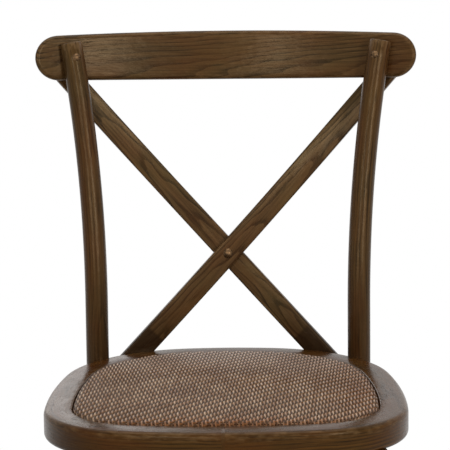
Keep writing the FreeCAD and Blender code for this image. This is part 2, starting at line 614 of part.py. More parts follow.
# Seat board and cane: both are the seat outline under a shallow dome with rounded shoulders.
def dome(name, inset, lift):
    """A crowned panel that stands on the ledge: its top is raised by the named sizes."""
    body = doc.addObject("PartDesign::Body", name)
    on_seat(body, "Sizes.seat_height - Sizes.ledge_depth")
    shape = sketch_on(body, name + "_outline", "XY_Plane")
    draw_seat(shape, inset)
    slab = feature_of(body, "Pad", name + "_slab", shape)
    slab.setExpression("Length", "Sizes.ledge_depth + Sizes.seat_crown + 5")
    rise = size("seat_crown")
    ball = (size("crown_span")**2 + rise**2) / (2 * rise)
    top = size("ledge_depth") + rise + lift
    arc = sketch_on(body, name + "_crown", "XZ_Plane")
    half_width = size("seat_width")
    middle = Vector(0, top - ball, 0)
    spread = math.asin(half_width * 0.6 / ball)
    arc.addGeometry(Part.ArcOfCircle(Part.Circle(middle, Vector(0, 0, 1), ball), math.pi / 2 - spread,
                                     math.pi / 2), False)
    low = middle + Vector(ball * math.sin(spread), ball * math.cos(spread), 0)
    high = Vector(low.x, top + 40, 0)
    for a, b in ((Vector(0, top, 0), Vector(0, top + 40, 0)), (Vector(0, top + 40, 0), high), (high, low)):
        arc.addGeometry(Part.LineSegment(a, b), False)
    constrain(arc, ("Coincident", 0, 2, 1, 1))
    constrain(arc, ("Coincident", 1, 2, 2, 1))
    constrain(arc, ("Coincident", 2, 2, 3, 1))
    constrain(arc, ("Coincident", 3, 2, 0, 1))
    constrain(arc, ("PointOnObject", 0, 3, -2))
    constrain(arc, ("PointOnObject", 0, 2, -2))
    constrain(arc, ("Vertical", 1))
    constrain(arc, ("Horizontal", 2))
    constrain(arc, ("Vertical", 3))
    lifted = " + Sizes.cane_thickness" if lift else ""
    constrain(arc, ("Radius", 0, ball),
              "(Sizes.crown_span * Sizes.crown_span + Sizes.seat_crown * Sizes.seat_crown) / (2 * Sizes.seat_crown)")
    constrain(arc, ("DistanceY", -1, 1, 0, 2, top), "Sizes.ledge_depth + Sizes.seat_crown" + lifted)
    constrain(arc, ("DistanceY", 1, 1, 1, 2, 40))
    constrain(arc, ("DistanceX", 2, 1, 2, 2, low.x))
    trim = feature_of(body, "Groove", name + "_trim", arc, Angle=360)
    trim.ReferenceAxis = (arc, ["V_Axis"])
    doc.recompute()
    crown = [f for f in trim.Shape.Faces if isinstance(f.Surface, (Part.Sphere, Part.Toroid))
             or f.Surface.TypeId in ("Part::GeomSphere", "Part::GeomSurfaceOfRevolution")]
    rim = ["Edge%d" % n for n, e in enumerate(trim.Shape.Edges, start=1)
           if any(e.isSame(other) for f in crown for other in f.Edges)]
    shoulder = body.newObject("PartDesign::Fillet", name + "_shoulder")
    shoulder.Base = (trim, rim)
    shoulder.setExpression("Radius", "Sizes.board_shoulder" + lifted)
    doc.recompute()
    return body


seat_board = dome("board_body", ("ring_band", "cane_gap", "cane_thickness"), 0)
cane_block = dome("cane_body", ("ring_band", "cane_gap"), size("cane_thickness"))
keep(cut(cane_block, [seat_board], "cane_shell"), "seat_cane")

# Front legs: tapered sticks with a round tenon in the ring, cut level under the ring and on the floor.
ring_under = size("seat_height") - size("ring_thickness")
under_trim = doc.addObject("Part::Box", "under_trim")
bind(under_trim, {"Length": "Sizes.seat_width * 2", "Width": "Sizes.seat_depth * 2", "Height": "50",
                  "Placement.Base.x": "-Sizes.seat_width", "Placement.Base.y": "-Sizes.seat_depth",
                  "Placement.Base.z": "Sizes.seat_height - Sizes.ring_thickness"})


def leg_centre(z):
    """Middle of the left front leg at height z, from the middle of the seat."""
    share = 1 - z / ring_under
    return Vector(size("seat_width") / 2 - size("leg_in") + size("front_splay_out") * share,
                  size("leg_behind") - size("seat_depth") / 2 - size("front_splay_forward") * share, z)


def leg_radius(z):
    """Radius of the front leg at height z."""
    return size("leg_top_radius") + (size("leg_foot_radius") - size("leg_top_radius")) * (1 - z / ring_under)


legs, tenons = {}, {}
for side in ("left", "right"):
    foot, top = leg_centre(0), leg_centre(ring_under)
    axis = Vector((top.x - foot.x) * SIGN[side], top.y - foot.y, ring_under)
    slant = axis.Length / ring_under
    axis = axis / axis.Length
    foot.x *= SIGN[side]
    cone = doc.addObject("Part::Cone", "leg_cone_" + side)
    cone.Radius1 = leg_radius(-8)
    cone.Radius2 = leg_radius(ring_under + 8)
    cone.Height = (ring_under + 16) * slant
    aim(cone, foot - axis * (8 * slant), axis)
    tenon = doc.addObject("Part::Cylinder", "tenon_" + side)
    bind(tenon, {"Radius": "Sizes.tenon_radius", "Height": "Sizes.tenon_length + 20"})
    aim(tenon, foot + axis * (ring_under * slant - 20), axis)
    tenons[side] = tenon
    shank = cut(cone, [floor_trim, under_trim], "leg_shank_" + side)
    legs[side] = fused([shank, tenon], "leg_whole_" + side)


# Arched braces: one bent stick each, from leg to leg, with its crown against the ring's underside.
def arch_brace(name, foot_a, slope_a, foot_b, slope_b):
    """An arch in the local XZ plane; feet at given X, each rising inward at a slope in degrees."""
    body = doc.addObject("PartDesign::Body", name)
    spine = sketch_on(body, name + "_spine", "XZ_Plane")
    crown = ring_under - size("arch_thickness") / 2
    bend, level = size("arch_bend"), size("arch_foot")
    ends = []
    for foot, slope, inward in ((foot_a, slope_a, 1), (foot_b, slope_b, -1)):
        angle = math.radians(slope)
        rise = (crown - bend - level + bend * math.sin(angle)) / math.cos(angle)
        knee = Vector(foot + inward * rise * math.sin(angle), level + rise * math.cos(angle), 0)
        centre = knee + Vector(inward * bend * math.cos(angle), -bend * math.sin(angle), 0)
        ends.append((Vector(foot, level, 0), knee, centre, angle))
    (a_foot, a_knee, a_mid, a_angle), (b_foot, b_knee, b_mid, b_angle) = ends
    spine.addGeometry(Part.LineSegment(a_foot, a_knee), False)
    spine.addGeometry(Part.ArcOfCircle(Part.Circle(a_mid, Vector(0, 0, 1), bend), math.pi / 2,
                                       math.pi - a_angle), False)
    spine.addGeometry(Part.LineSegment(a_mid + Vector(0, bend, 0), b_mid + Vector(0, bend, 0)), False)
    spine.addGeometry(Part.ArcOfCircle(Part.Circle(b_mid, Vector(0, 0, 1), bend), b_angle, math.pi / 2), False)
    spine.addGeometry(Part.LineSegment(b_knee, b_foot), False)
    constrain(spine, ("Tangent", 0, 2, 1, 2))
    constrain(spine, ("Tangent", 1, 1, 2, 1))
    constrain(spine, ("Tangent", 2, 2, 3, 2))
    constrain(spine, ("Tangent", 3, 1, 4, 1))
    constrain(spine, ("Horizontal", 2))
    constrain(spine, ("Radius", 1, bend), "Sizes.arch_bend")
    constrain(spine, ("Radius", 3, bend), "Sizes.arch_bend")
    constrain(spine, ("DistanceY", -1, 1, 2, 1, crown),
              "Sizes.seat_height - Sizes.ring_thickness - Sizes.arch_thickness / 2")
    for line, end in ((0, 1), (4, 2)):
        foot = a_foot if line == 0 else b_foot
        constrain(spine, ("DistanceX", -1, 1, line, end, foot.x))
        constrain(spine, ("DistanceY", -1, 1, line, end, level), "Sizes.arch_foot")
    constrain(spine, ("Angle", -1, 1, 0, 1, math.pi / 2 - a_angle))
    constrain(spine, ("Angle", -1, 1, 4, 2, math.pi / 2 + b_angle))
    profile = sketch_on(body, name + "_profile", "XY_Plane", "Sizes.arch_foot")
    w, t, r = size("arch_width") / 2, size("arch_thickness") / 2, size("arch_edge")
    corners = [(foot_a + t - r, w - r, 0), (foot_a - t + r, w - r, 90), (foot_a - t + r, -w + r, 180),
               (foot_a + t - r, -w + r, 270)]
    for k, (x, y, angle) in enumerate(corners):
        circle = Part.Circle(Vector(x, y, 0), Vector(0, 0, 1), r)
        profile.addGeometry(Part.ArcOfCircle(circle, math.radians(angle), math.radians(angle + 90)), False)
    for k in range(4):
        start = profile.getPoint(k, 2)
        end = profile.getPoint((k + 1) % 4, 1)
        profile.addGeometry(Part.LineSegment(start, end), False)
    for k in range(4):
        constrain(profile, ("Tangent", k, 2, 4 + k, 1))
        constrain(profile, ("Tangent", 4 + k, 2, (k + 1) % 4, 1))
        constrain(profile, ("Radius", k, r), "Sizes.arch_edge")
    constrain(profile, ("Vertical", 5))
    constrain(profile, ("Horizontal", 4))
    constrain(profile, ("DistanceX", 0, 3, 1, 3, -2 * (t - r)))
    profile.setExpression("Constraints[%d]" % (profile.ConstraintCount - 1),
                          "2 * Sizes.arch_edge - Sizes.arch_thickness")
    constrain(profile, ("DistanceY", 3, 3, 0, 3, 2 * (w - r)), "Sizes.arch_width - 2 * Sizes.arch_edge")
    constrain(profile, ("Symmetric", 0, 3, 3, 3, -1))
    constrain(profile, ("DistanceX", -1, 1, 1, 3, foot_a - t + r))
    doc.recompute()
    pipe = feature_of(body, "AdditivePipe", name + "_sweep", profile)
    pipe.Spine = (spine, ["Edge%d" % k for k in range(1, 6)])
    return body


def inner_slope(low, high, rise):
    """Angle of a leg's inner face, in degrees, from its place at two heights."""
    return math.degrees(math.atan2(abs(high - low), rise))


foot_z, knee_z = size("arch_foot"), size("arch_foot") + 80
inset = size("arch_thickness") / 2 - size("arch_let_in")
leg_low, leg_high = leg_centre(foot_z), leg_centre(knee_z)
post_low, post_high = post_centre(foot_z), post_centre(knee_z)

front_foot = leg_low.x - leg_radius(foot_z) - inset
front_slope = inner_slope(leg_low.x - leg_radius(foot_z), leg_high.x - leg_radius(knee_z), 80)
arches = {"front": arch_brace("arch_front_body", -front_foot, front_slope, front_foot, front_slope)}
front_plane = leg_low.y - 3
arches["front"].Placement.Base = Vector(0, front_plane + size("seat_y"), 0)

rear_foot = post_low.x - post_radius(foot_z) - inset
rear_slope = inner_slope(post_low.x - post_radius(foot_z), post_high.x - post_radius(knee_z), 80)
arches["rear"] = arch_brace("arch_rear_body", -rear_foot, rear_slope, rear_foot, rear_slope)
rear_plane = post_low.y + 3
arches["rear"].Placement.Base = Vector(0, rear_plane + size("seat_y"), 0)

# The side arches stand in the plane through the front and the rear leg of their side.
side_run = Vector(post_low.x - leg_low.x, post_low.y - leg_low.y, 0)
side_turn = math.degrees(math.atan2(side_run.y, side_run.x))
side_middle = (leg_low + post_low) * 0.5
side_reach = side_run.Length / 2
side_front = -(side_reach - leg_radius(foot_z) - inset)
side_rear = side_reach - post_radius(foot_z) - inset
side_front_slope = inner_slope(leg_low.y + leg_radius(foot_z), leg_high.y + leg_radius(knee_z), 80)
side_rear_slope = inner_slope(post_low.y - post_radius(foot_z), post_high.y - post_radius(knee_z), 80)
for side in ("left", "right"):
    body = arch_brace("arch_%s_body" % side, side_front, side_front_slope, side_rear, side_rear_slope)
    turn = side_turn if side == "left" else 180 - side_turn
    body.Placement = Placement(Vector(side_middle.x * SIGN[side], side_middle.y + size("seat_y"), 0),
                               Rotation(Vector(0, 0, 1), turn))
    arches[side] = body

# Screws through the arches: into the legs at both feet and up into the ring.
arch_screws, leg_screws, ring_screws = {}, {"left": [], "right": [], "post_left": [], "post_right": []}, []
half_t = size("arch_thickness") / 2
for name, body in arches.items():
    if name in ("front", "rear"):
        plane = front_plane if name == "front" else rear_plane
        middle, run = Vector(0, plane, 0), Vector(1, 0, 0)
        foot = front_foot if name == "front" else rear_foot
        ends = ((-foot, front_slope if name == "front" else rear_slope),
                (foot, front_slope if name == "front" else rear_slope))
        lift = 14
    else:
        middle = Vector(side_middle.x * SIGN[name], side_middle.y, 0)
        run = Vector(side_run.x * SIGN[name], side_run.y, 0) / side_run.Length
        ends = ((side_front, side_front_slope), (side_rear, side_rear_slope))
        lift = 40
    pieces = []
    for number, (foot, slope) in enumerate(ends):
        inward = 1 if foot < 0 else -1
        z = foot_z + lift
        at = foot + inward * (lift * math.tan(math.radians(slope)) + half_t / math.cos(math.radians(slope)))
        point = middle + run * at + Vector(0, 0, z)
        one = screw("arch_screw_%s_%d" % (name, number), point, run * inward, 24)
        pieces.append(one)
        if name in ("front", "rear"):
            side = "right" if number == 0 else "left"
            leg_screws[side if name == "front" else "post_" + side].append(one)
        else:
            leg_screws[name if number == 0 else "post_" + name].append(one)
    for number, spread in enumerate((-30, 30)):
        shift = (side_front + side_rear) / 2 if name in ("left", "right") else 0
        point = middle + run * (spread + shift) + Vector(0, 0, ring_under - size("arch_thickness"))
        one = screw("crown_screw_%s_%d" % (name, number), point, Vector(0, 0, -1), 32)
        pieces.append(one)
        ring_screws.append(one)
    arch_screws[name] = keep(fused(pieces, "arch_screws_" + name), "arch_screws_" + name)

# Bolts that draw the rear legs into the ring's corners, and screws that hold the seat board.
bolts = {}
for side in ("left", "right"):
    corner = Vector(REAR_CORNER.x * SIGN[side], REAR_CORNER.y, 0)
    at_ring = post_centre(size("seat_height"))
    centre = Vector(at_ring.x * SIGN[side], at_ring.y, 0)
    inward = corner - centre
    gap = inward.Length - (size("rear_corner") - size("ring_band") - size("ring_ledge"))
    inward = inward / inward.Length
    point = centre + inward * gap + Vector(0, 0, size("seat_height") - size("bolt_drop"))
    bolt = screw("bolt_" + side, point, inward, gap + 8, "bolt_head", "bolt_shank")
    bolts[side] = keep(bolt, "post_bolt_" + side)

ledge_middle = size("ring_band") + size("ring_ledge") / 2
board_points = []
for centre, name, angle in ((FRONT_CORNER, "front_corner", -45), (REAR_CORNER, "rear_corner", 62)):
    reach = size(name) - ledge_middle
    x = centre.x + reach * math.cos(math.radians(angle))
    y = centre.y + reach * math.sin(math.radians(angle))
    board_points += [Vector(x, y, 0), Vector(-x, y, 0)]
board_screws = [screw("board_screw_%d" % n, p + Vector(0, 0, ring_under), Vector(0, 0, -1), 27)
                for n, p in enumerate(board_points)]
board_set = keep(fused(board_screws, "board_screws"), "board_screws")

# The pieces with their joints cut: each takes its neighbours' true shapes out of itself.
posts = {}
for side in ("left", "right"):
    tools = [floor_trim, crest_rivets[side], bolts[side]] + leg_screws["post_" + side]
    posts[side] = keep(cut(post_blanks[side], tools, "post_cut_" + side), "post_" + side)
slats = {}
for name in ("front", "rear"):
    tools = [cross_rivet] + upper_screws + lower_screws
    drilled = cut(slat_blanks[name], tools, "slat_drilled_" + name)
    slats[name] = keep(cut(drilled, [crest_body], "slat_pared_" + name), "cross_slat_" + name)
keep(cut(crest_body, [post_blanks["left"], post_blanks["right"], crest_rivets["left"], crest_rivets["right"]]
         + upper_screws, "crest_cut"), "crest_rail")
keep(cut(ring_body, [post_blanks["left"], post_blanks["right"], slat_blanks["front"], slat_blanks["rear"],
                     tenons["left"], tenons["right"], bolts["left"], bolts["right"], board_set]
         + lower_screws + ring_screws, "ring_cut"), "seat_ring")
keep(cut(seat_board, [board_set], "board_cut"), "seat_board")
for name in ("front", "rear", "left", "right"):
    near = [legs["left"], legs["right"], post_blanks["left"], post_blanks["right"]]
    keep(cut(arches[name], near + [arch_screws[name]], "arch_cut_" + name), "arch_" + name)

# Glides: a nylon disc under each foot, with a pin up the middle of the leg.
feet = {"front_left": leg_centre(0), "front_right": leg_centre(0),
        "rear_left": post_centre(0), "rear_right": post_centre(0)}
glides = {}
for name, foot in feet.items():
    sign = 1 if name.endswith("left") else -1
    disc = doc.addObject("Part::Cone", name + "_disc")
    bind(disc, {"Radius1": "Sizes.glide_radius - 1", "Radius2": "Sizes.glide_radius", "Height": "Sizes.glide_height"})
    pin = doc.addObject("Part::Cylinder", name + "_pin")
    bind(pin, {"Radius": "Sizes.glide_pin", "Height": "Sizes.glide_height + 12"})
    for piece in (disc, pin):
        piece.Placement.Base = Vector(foot.x * sign, foot.y + size("seat_y"), 0)
    glides[name] = keep(fused([disc, pin], name + "_glide"), "glide_" + name)
for side in ("left", "right"):
    pieces = leg_screws[side] + [glides["front_" + side]]
    keep(cut(legs[side], pieces, "leg_cut_" + side), "front_leg_" + side)
    old = posts[side]
    old.Tool.Shapes = old.Tool.Shapes + [glides["rear_" + side]]

doc.recompute()

# Every piece is checked, then written under its own name.
for item in doc.Objects:
    if "Invalid" in item.State or "Error" in item.State:
        raise RuntimeError("not computed: %s" % item.Name)
os.makedirs("parts", exist_ok=True)
for piece in SUBPARTS:
    if piece.Shape.isNull() or not piece.Shape.isValid():
        raise RuntimeError("bad shape: %s" % piece.Label)
    piece.Shape.exportStep("parts/%s.step" % piece.Label)
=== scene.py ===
import math

import bmesh
import bpy
import numpy as np
from mathutils import Matrix, Vector


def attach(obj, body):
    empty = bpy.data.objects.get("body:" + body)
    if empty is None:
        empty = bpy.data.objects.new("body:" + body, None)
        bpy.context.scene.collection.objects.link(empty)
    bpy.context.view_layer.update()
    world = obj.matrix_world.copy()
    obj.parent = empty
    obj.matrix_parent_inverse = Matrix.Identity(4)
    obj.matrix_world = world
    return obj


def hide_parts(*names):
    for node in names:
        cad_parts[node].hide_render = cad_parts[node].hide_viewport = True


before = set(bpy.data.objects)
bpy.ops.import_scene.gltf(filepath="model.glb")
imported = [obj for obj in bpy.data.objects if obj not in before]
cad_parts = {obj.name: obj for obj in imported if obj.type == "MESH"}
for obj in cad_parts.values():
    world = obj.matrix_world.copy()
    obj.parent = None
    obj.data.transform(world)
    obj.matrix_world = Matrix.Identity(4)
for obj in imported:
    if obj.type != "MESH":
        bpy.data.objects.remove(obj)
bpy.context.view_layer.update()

# Seat ring: a bentwood hoop of dark-stained, satin-lacquered elm, 35 mm deep and 51 mm wide.
# Its outer edges are rounded over by hand, and a rebate inside leaves the ledge for the seat board.
# Eight arcs make the outline, each tangent to the next. Lengths are in millimetres from the seat's middle.
MM = 0.001
SEAT_Y = -39.5
SEAT_TOP = 455
HALF_WIDE, HALF_DEEP = 225.5, 223.0
WIDEST_Y = -78.0
FRONT_SWEEP, SIDE_SWEEP, REAR_SWEEP = 750, 800, 480
FRONT_TURN, REAR_TURN = 120, 177
FRONT = np.array((0, FRONT_SWEEP - HALF_DEEP))
SIDE = np.array((HALF_WIDE - SIDE_SWEEP, WIDEST_Y))
REAR = np.array((0, HALF_DEEP - REAR_SWEEP))


def corner_between(one, reach_one, two, reach_two):
    """Middle of a corner arc that touches two long arcs from inside, on the +X side."""
    gap = two - one
    length = math.hypot(*gap)
    along = (reach_one**2 - reach_two**2 + length**2) / (2 * length)
    across = math.sqrt(reach_one**2 - along**2)
    way = gap / length
    turned = np.array((way[1], -way[0]))
    return max((one + way * along + turned * across * s for s in (1, -1)), key=lambda c: c[0])


FRONT_CORNER = corner_between(FRONT, FRONT_SWEEP - FRONT_TURN, SIDE, SIDE_SWEEP - FRONT_TURN)
REAR_CORNER = corner_between(REAR, REAR_SWEEP - REAR_TURN, SIDE, SIDE_SWEEP - REAR_TURN)


def bearing(start, end):
    """Direction from one arc's middle to another's, as an angle."""
    return math.atan2(end[1] - start[1], end[0] - start[0])


def seat_arcs():
    """The outline's arcs as (middle, radius, first angle, last angle), round from the front middle."""
    turns = [bearing(FRONT, FRONT_CORNER), bearing(SIDE, FRONT_CORNER), bearing(SIDE, REAR_CORNER),
             bearing(REAR, REAR_CORNER)]
    right = [(FRONT, FRONT_SWEEP, -math.pi / 2, turns[0]), (FRONT_CORNER, FRONT_TURN, turns[0], turns[1]),
             (SIDE, SIDE_SWEEP, turns[1], turns[2]), (REAR_CORNER, REAR_TURN, turns[2], turns[3]),
             (REAR, REAR_SWEEP, turns[3], math.pi / 2)]
    mirror = np.array((-1, 1))
    left = [(c * mirror, r, math.pi - b, math.pi - a) for c, r, a, b in reversed(right)]
    return right + left


def seat_outline(step):
    """Points and outward directions round the seat's outer face, and the length walked to each."""
    points, outward, walked, total = [], [], [], 0
    for centre, radius, first, last in seat_arcs():
        count = max(2, round(radius * (last - first) / step))
        for k in range(count):
            angle = first + (last - first) * k / count
            way = np.array((math.cos(angle), math.sin(angle)))
            points.append(centre + way * radius)
            outward.append(way)
            walked.append(total + radius * (last - first) * k / count)
        total += radius * (last - first)
    return np.array(points), np.array(outward), np.array(walked)


def corner_arc(centre, radius, first, last, steps=4):
    """Points of a rounded corner in a section, angles in degrees."""
    angles = np.radians(np.linspace(first, last, steps + 1))
    return [(centre[0] + radius * math.cos(a), centre[1] + radius * math.sin(a)) for a in angles]


def add_object(name, data):
    """Puts a mesh, lamp or camera into the scene."""
    made = bpy.data.objects.new(name, data)
    bpy.context.scene.collection.objects.link(made)
    return made


def mark_points(mesh, name, values):
    """Keeps one value or one vector for each point of a mesh, for its finish to read."""
    kind, key = ("FLOAT", "value") if values.ndim == 1 else ("FLOAT_VECTOR", "vector")
    mesh.attributes.new(name, kind, "POINT").data.foreach_set(key, values.astype(np.float32).ravel())


def wood_piece(name, points, grain, wear_and_painted_light, round_trip=False, ends=True):
    """A mesh from rows of section points in millimetres, with each point's place in the timber and its wear,
    painted shade and painted highlight.
    """
    rows, across = points.shape[:2]
    verts = points.reshape(-1, 3) * MM
    faces = []
    for i in range(rows if round_trip else rows - 1):
        for j in range(across):
            a, b = i * across, ((i + 1) % rows) * across
            faces.append((a + j, a + (j + 1) % across, b + (j + 1) % across, b + j))
    if ends:
        faces.append(tuple(reversed(range(across))))
        faces.append(tuple((rows - 1) * across + j for j in range(across)))
    mesh = bpy.data.meshes.new(name)
    mesh.from_pydata(verts.tolist(), [], faces)
    mark_points(mesh, "grain", grain.reshape(-1, 3))
    mark_points(mesh, "wear_and_painted_light", wear_and_painted_light.reshape(-1))
    mesh.polygons.foreach_set("use_smooth", [True] * len(faces))
    if ends:
        mesh.polygons[len(faces) - 1].use_smooth = False
        mesh.polygons[len(faces) - 2].use_smooth = False
    face_out(mesh)
    return add_object(name, mesh)


def face_out(mesh):
    """Turns the faces outward where the rows ran the other way, which makes the enclosed volume negative."""
    count = len(mesh.vertices)
    co = np.zeros(count * 3)
    mesh.vertices.foreach_get("co", co)
    co = co.reshape(-1, 3)
    mesh.calc_loop_triangles()
    tri = np.zeros(len(mesh.loop_triangles) * 3, int)
    mesh.loop_triangles.foreach_get("vertices", tri)
    a, b, c = (co[tri.reshape(-1, 3)[:, k]] for k in range(3))
    if (a * np.cross(b, c)).sum() < 0:
        mesh.flip_normals()
    mesh.update()


def node(tree, kind, values=None, **settings):
    """Adds a shader node; a value that is a socket is linked and any other is set."""
    made = tree.nodes.new(kind)
    for key, value in settings.items():
        setattr(made, key, value)
    for key, value in (values or {}).items():
        if isinstance(value, bpy.types.NodeSocket):
            tree.links.new(value, made.inputs[key])
        else:
            made.inputs[key].default_value = value
    return made


def stops(tree, factor, *pairs):
    """A ramp whose stops are (place, level)."""
    ramp = node(tree, "ShaderNodeValToRGB", {0: factor})
    band = ramp.color_ramp
    while len(band.elements) < len(pairs):
        band.elements.new(0.5)
    for element, (place, level) in zip(band.elements, pairs):
        element.position = place
        element.color = (level, level, level, 1)
    return ramp.outputs[0]


def linear(red, green, blue):
    """A colour as the shader wants it, from its 0 to 255 levels on screen."""
    return tuple(((c / 255 + 0.055) / 1.055)**2.4 if c > 10 else c / 3295 for c in (red, green, blue)) + (1,)


def blend_colours(tree, factor, one, two, mode="MIX"):
    """Two colours mixed in a shader."""
    mix = node(tree, "ShaderNodeMix", {0: factor, 6: one, 7: two}, data_type="RGBA", blend_type=mode)
    return mix.outputs[2]


def maths(tree, operation, one, two=0.0, clamp=False):
    """One sum in a shader."""
    return node(tree, "ShaderNodeMath", {0: one, 1: two}, operation=operation, use_clamp=clamp).outputs[0]


def times(tree, one, two, clamp=False):
    """One product in a shader."""
    return maths(tree, "MULTIPLY", one, two, clamp)


def plus(tree, one, two, clamp=False):
    """One addition in a shader."""
    return maths(tree, "ADD", one, two, clamp)


def noise(tree, way, scale, detail, rough=0.5):
    """Cloudy noise from 0 to 1."""
    return node(tree, "ShaderNodeTexNoise", {"Vector": way, "Scale": scale, "Detail": detail,
                                             "Roughness": rough}).outputs["Fac"]


def stretched(tree, way, *scale):
    """A position with its own scale along each axis."""
    return node(tree, "ShaderNodeVectorMath", {0: way, 1: scale}, operation="MULTIPLY").outputs[0]


def attribute(tree, name, output):
    """What the mesh keeps under a name for each of its points."""
    return node(tree, "ShaderNodeAttribute", attribute_name=name).outputs[output]


def bumped(tree, height, strength, distance, under=None):
    """Fine relief, over another relief if one is given."""
    values = {"Height": height, "Strength": strength, "Distance": distance}
    if under is not None:
        values["Normal"] = under
    return node(tree, "ShaderNodeBump", values).outputs[0]


def new_finish(name):
    """An empty material, and the tree that its nodes go in."""
    material = bpy.data.materials.new(name)
    material.use_nodes = True
    material.node_tree.nodes.clear()
    return material, material.node_tree


def surface(tree, colour, rough, relief, **more):
    """Ends a material with its shader; more holds further sockets, with _ for a space."""
    values = {"Base Color": colour, "Roughness": rough, "Normal": relief}
    values.update({key.replace("_", " "): value for key, value in more.items()})
    skin = node(tree, "ShaderNodeBsdfPrincipled", values)
    node(tree, "ShaderNodeOutputMaterial", {0: skin.outputs[0]})


def stained_elm(name, pith, taper, ring_width, stain, figure=0.45):
    """Dark-stained elm: growth rings about a pith, long pores, streaks, stain blotches and rubbed edges, with
    the painted shade and painted highlights that each piece marks on its points.
    """
    material, tree = new_finish(name)
    grain = attribute(tree, "grain", "Vector")

    def cloud(scale, detail, rough=0.55):
        return noise(tree, stretched(tree, grain, *scale), 1.0, detail, rough)

    def tinted(colour, factor, *levels):
        return blend_colours(tree, factor, colour, linear(*levels))

    # Growth rings, pale in the early wood, about a pith that lies off the stick and wanders.
    wander = times(tree, maths(tree, "SUBTRACT", cloud((0.018, 0.018, 0.006), 2), 0.5), 16)
    ripple = times(tree, maths(tree, "SUBTRACT", cloud((0.12, 0.12, 0.02), 2), 0.5), 2.2)
    from_pith = node(tree, "ShaderNodeVectorMath", {0: grain, 1: (*pith, 0)}, operation="SUBTRACT").outputs[0]
    flat = stretched(tree, from_pith, 1, 1, 0)
    radius = node(tree, "ShaderNodeVectorMath", {0: flat}, operation="LENGTH").outputs["Value"]
    along = node(tree, "ShaderNodeSeparateXYZ", {0: grain}).outputs[2]
    growth = plus(tree, plus(tree, radius, times(tree, along, taper)), plus(tree, wander, ripple))
    ring = maths(tree, "FRACT", maths(tree, "DIVIDE", growth, ring_width))
    early = stops(tree, ring, (0.0, 0.9), (0.1, 1.0), (0.32, 0.35), (0.7, 0.08), (0.96, 0.0), (1.0, 0.8))

    # Streaks and pores run along the grain, the pores mostly in the early wood.
    streak = cloud((0.42, 0.42, 0.011), 5, 0.62)
    pores = stops(tree, cloud((1.5, 1.5, 0.045), 2), (0.56, 0.0), (0.66, 1.0))
    pores = times(tree, pores, plus(tree, times(tree, early, 0.7), 0.3))
    depth = plus(tree, times(tree, early, figure), stops(tree, streak, (0.32, 0.0), (0.68, 0.7)), clamp=True)
    colour = blend_colours(tree, depth, linear(98, 73, 45), linear(36, 24, 12))

    # The stain takes redder in some places and greener in others, and sits black in the pores.
    blotch = stops(tree, cloud((0.03, 0.03, 0.009), 3), (0.4, 0.0), (0.62, 1.0))
    colour = tinted(colour, times(tree, blotch, 0.4), 90, 50, 22)
    olive = stops(tree, cloud((0.022, 0.05, 0.013), 2), (0.45, 0.0), (0.7, 1.0))
    colour = tinted(colour, times(tree, olive, 0.35), 80, 64, 32)
    colour = tinted(colour, times(tree, pores, 0.8), 20, 12, 6)
    colour = blend_colours(tree, 1.0, colour, (*stain, 1), "MULTIPLY")

    # Below zero the value is painted shade, darker with a sharp edge halfway. Above zero it is rubbed pale in
    # patches; the sawn ends of round sticks get so much that they are pale all over, a painted highlight.
    wear_and_painted_light = attribute(tree, "wear_and_painted_light", "Fac")
    painted_shade = stops(tree, times(tree, wear_and_painted_light, -1, clamp=True), (0, 0), (0.5, 0.42), (0.53, 0.85), (1, 0.95))
    colour = tinted(colour, painted_shade, 32, 18, 8)
    patchy = stops(tree, cloud((0.25, 0.25, 0.08), 4), (0.45, 0.0), (0.68, 1.0))
    rubbed_and_highlight = times(tree, wear_and_painted_light, patchy, clamp=True)
    colour = tinted(colour, times(tree, rubbed_and_highlight, 0.4), 120, 92, 60)

    # Satin lacquer, smeared a little, over a scraped surface with open pores.
    smear = cloud((0.06, 0.06, 0.02), 3)
    gloss = plus(tree, times(tree, smear, 0.14), plus(tree, times(tree, pores, 0.15), 0.2))
    scraped = bumped(tree, cloud((0.11, 0.11, 0.06), 2), 0.35, 0.0011)
    relief = plus(tree, times(tree, pores, -0.6), times(tree, streak, 0.5))
    surface(tree, colour, gloss, bumped(tree, relief, 0.25, 0.0003, scraped), IOR=1.27,
            Specular_Tint=(1, 0.72, 0.42, 1))
    return material


def finish_piece(piece, material, slot, *nodes):
    """Gives a piece its finish, and its place among the chair's parts."""
    piece.data.materials.append(material)
    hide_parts(*nodes)
    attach(piece, "root")


# The section is drawn as (inset from the outer face, height from the top): over the top, down to the ledge,
# and back along the underside.
EDGE, LIP, ARRIS = 6.5, 2, 1
BAND, HOOP_WIDE, HOOP_DEEP, LEDGE_DROP = 35, 51, 35, 14
section = corner_arc((EDGE, -EDGE), EDGE, 180, 90, 6) + [(20, 0)]
section += corner_arc((BAND - LIP, -LIP), LIP, 90, 0, 3)
section += [(BAND, -8), (BAND, -LEDGE_DROP), (43, -LEDGE_DROP)]
section += corner_arc((HOOP_WIDE - ARRIS, -LEDGE_DROP - ARRIS), ARRIS, 90, 0, 2) + [(HOOP_WIDE, -25)]
section += corner_arc((HOOP_WIDE - ARRIS, ARRIS - HOOP_DEEP), ARRIS, 0, -90, 2)
section += [(40, -HOOP_DEEP), (20, -HOOP_DEEP)] + corner_arc((EDGE, EDGE - HOOP_DEEP), EDGE, 270, 180, 6)
section = np.array(section + [(0, -22), (0, -13)])
rim, outward, walked = seat_outline(4.0)
inset, height = section[:, 0], section[:, 1]
plan = rim[:, None, :] - outward[:, None, :] * inset[None, :, None]
rows = np.empty((len(rim), len(section), 3))
rows[..., 0] = plan[..., 0]
rows[..., 1] = plan[..., 1] + SEAT_Y
rows[..., 2] = SEAT_TOP + height[None, :]
timber = np.empty_like(rows)
timber[..., 0] = inset[None, :]
timber[..., 1] = height[None, :]
timber[..., 2] = walked[:, None]
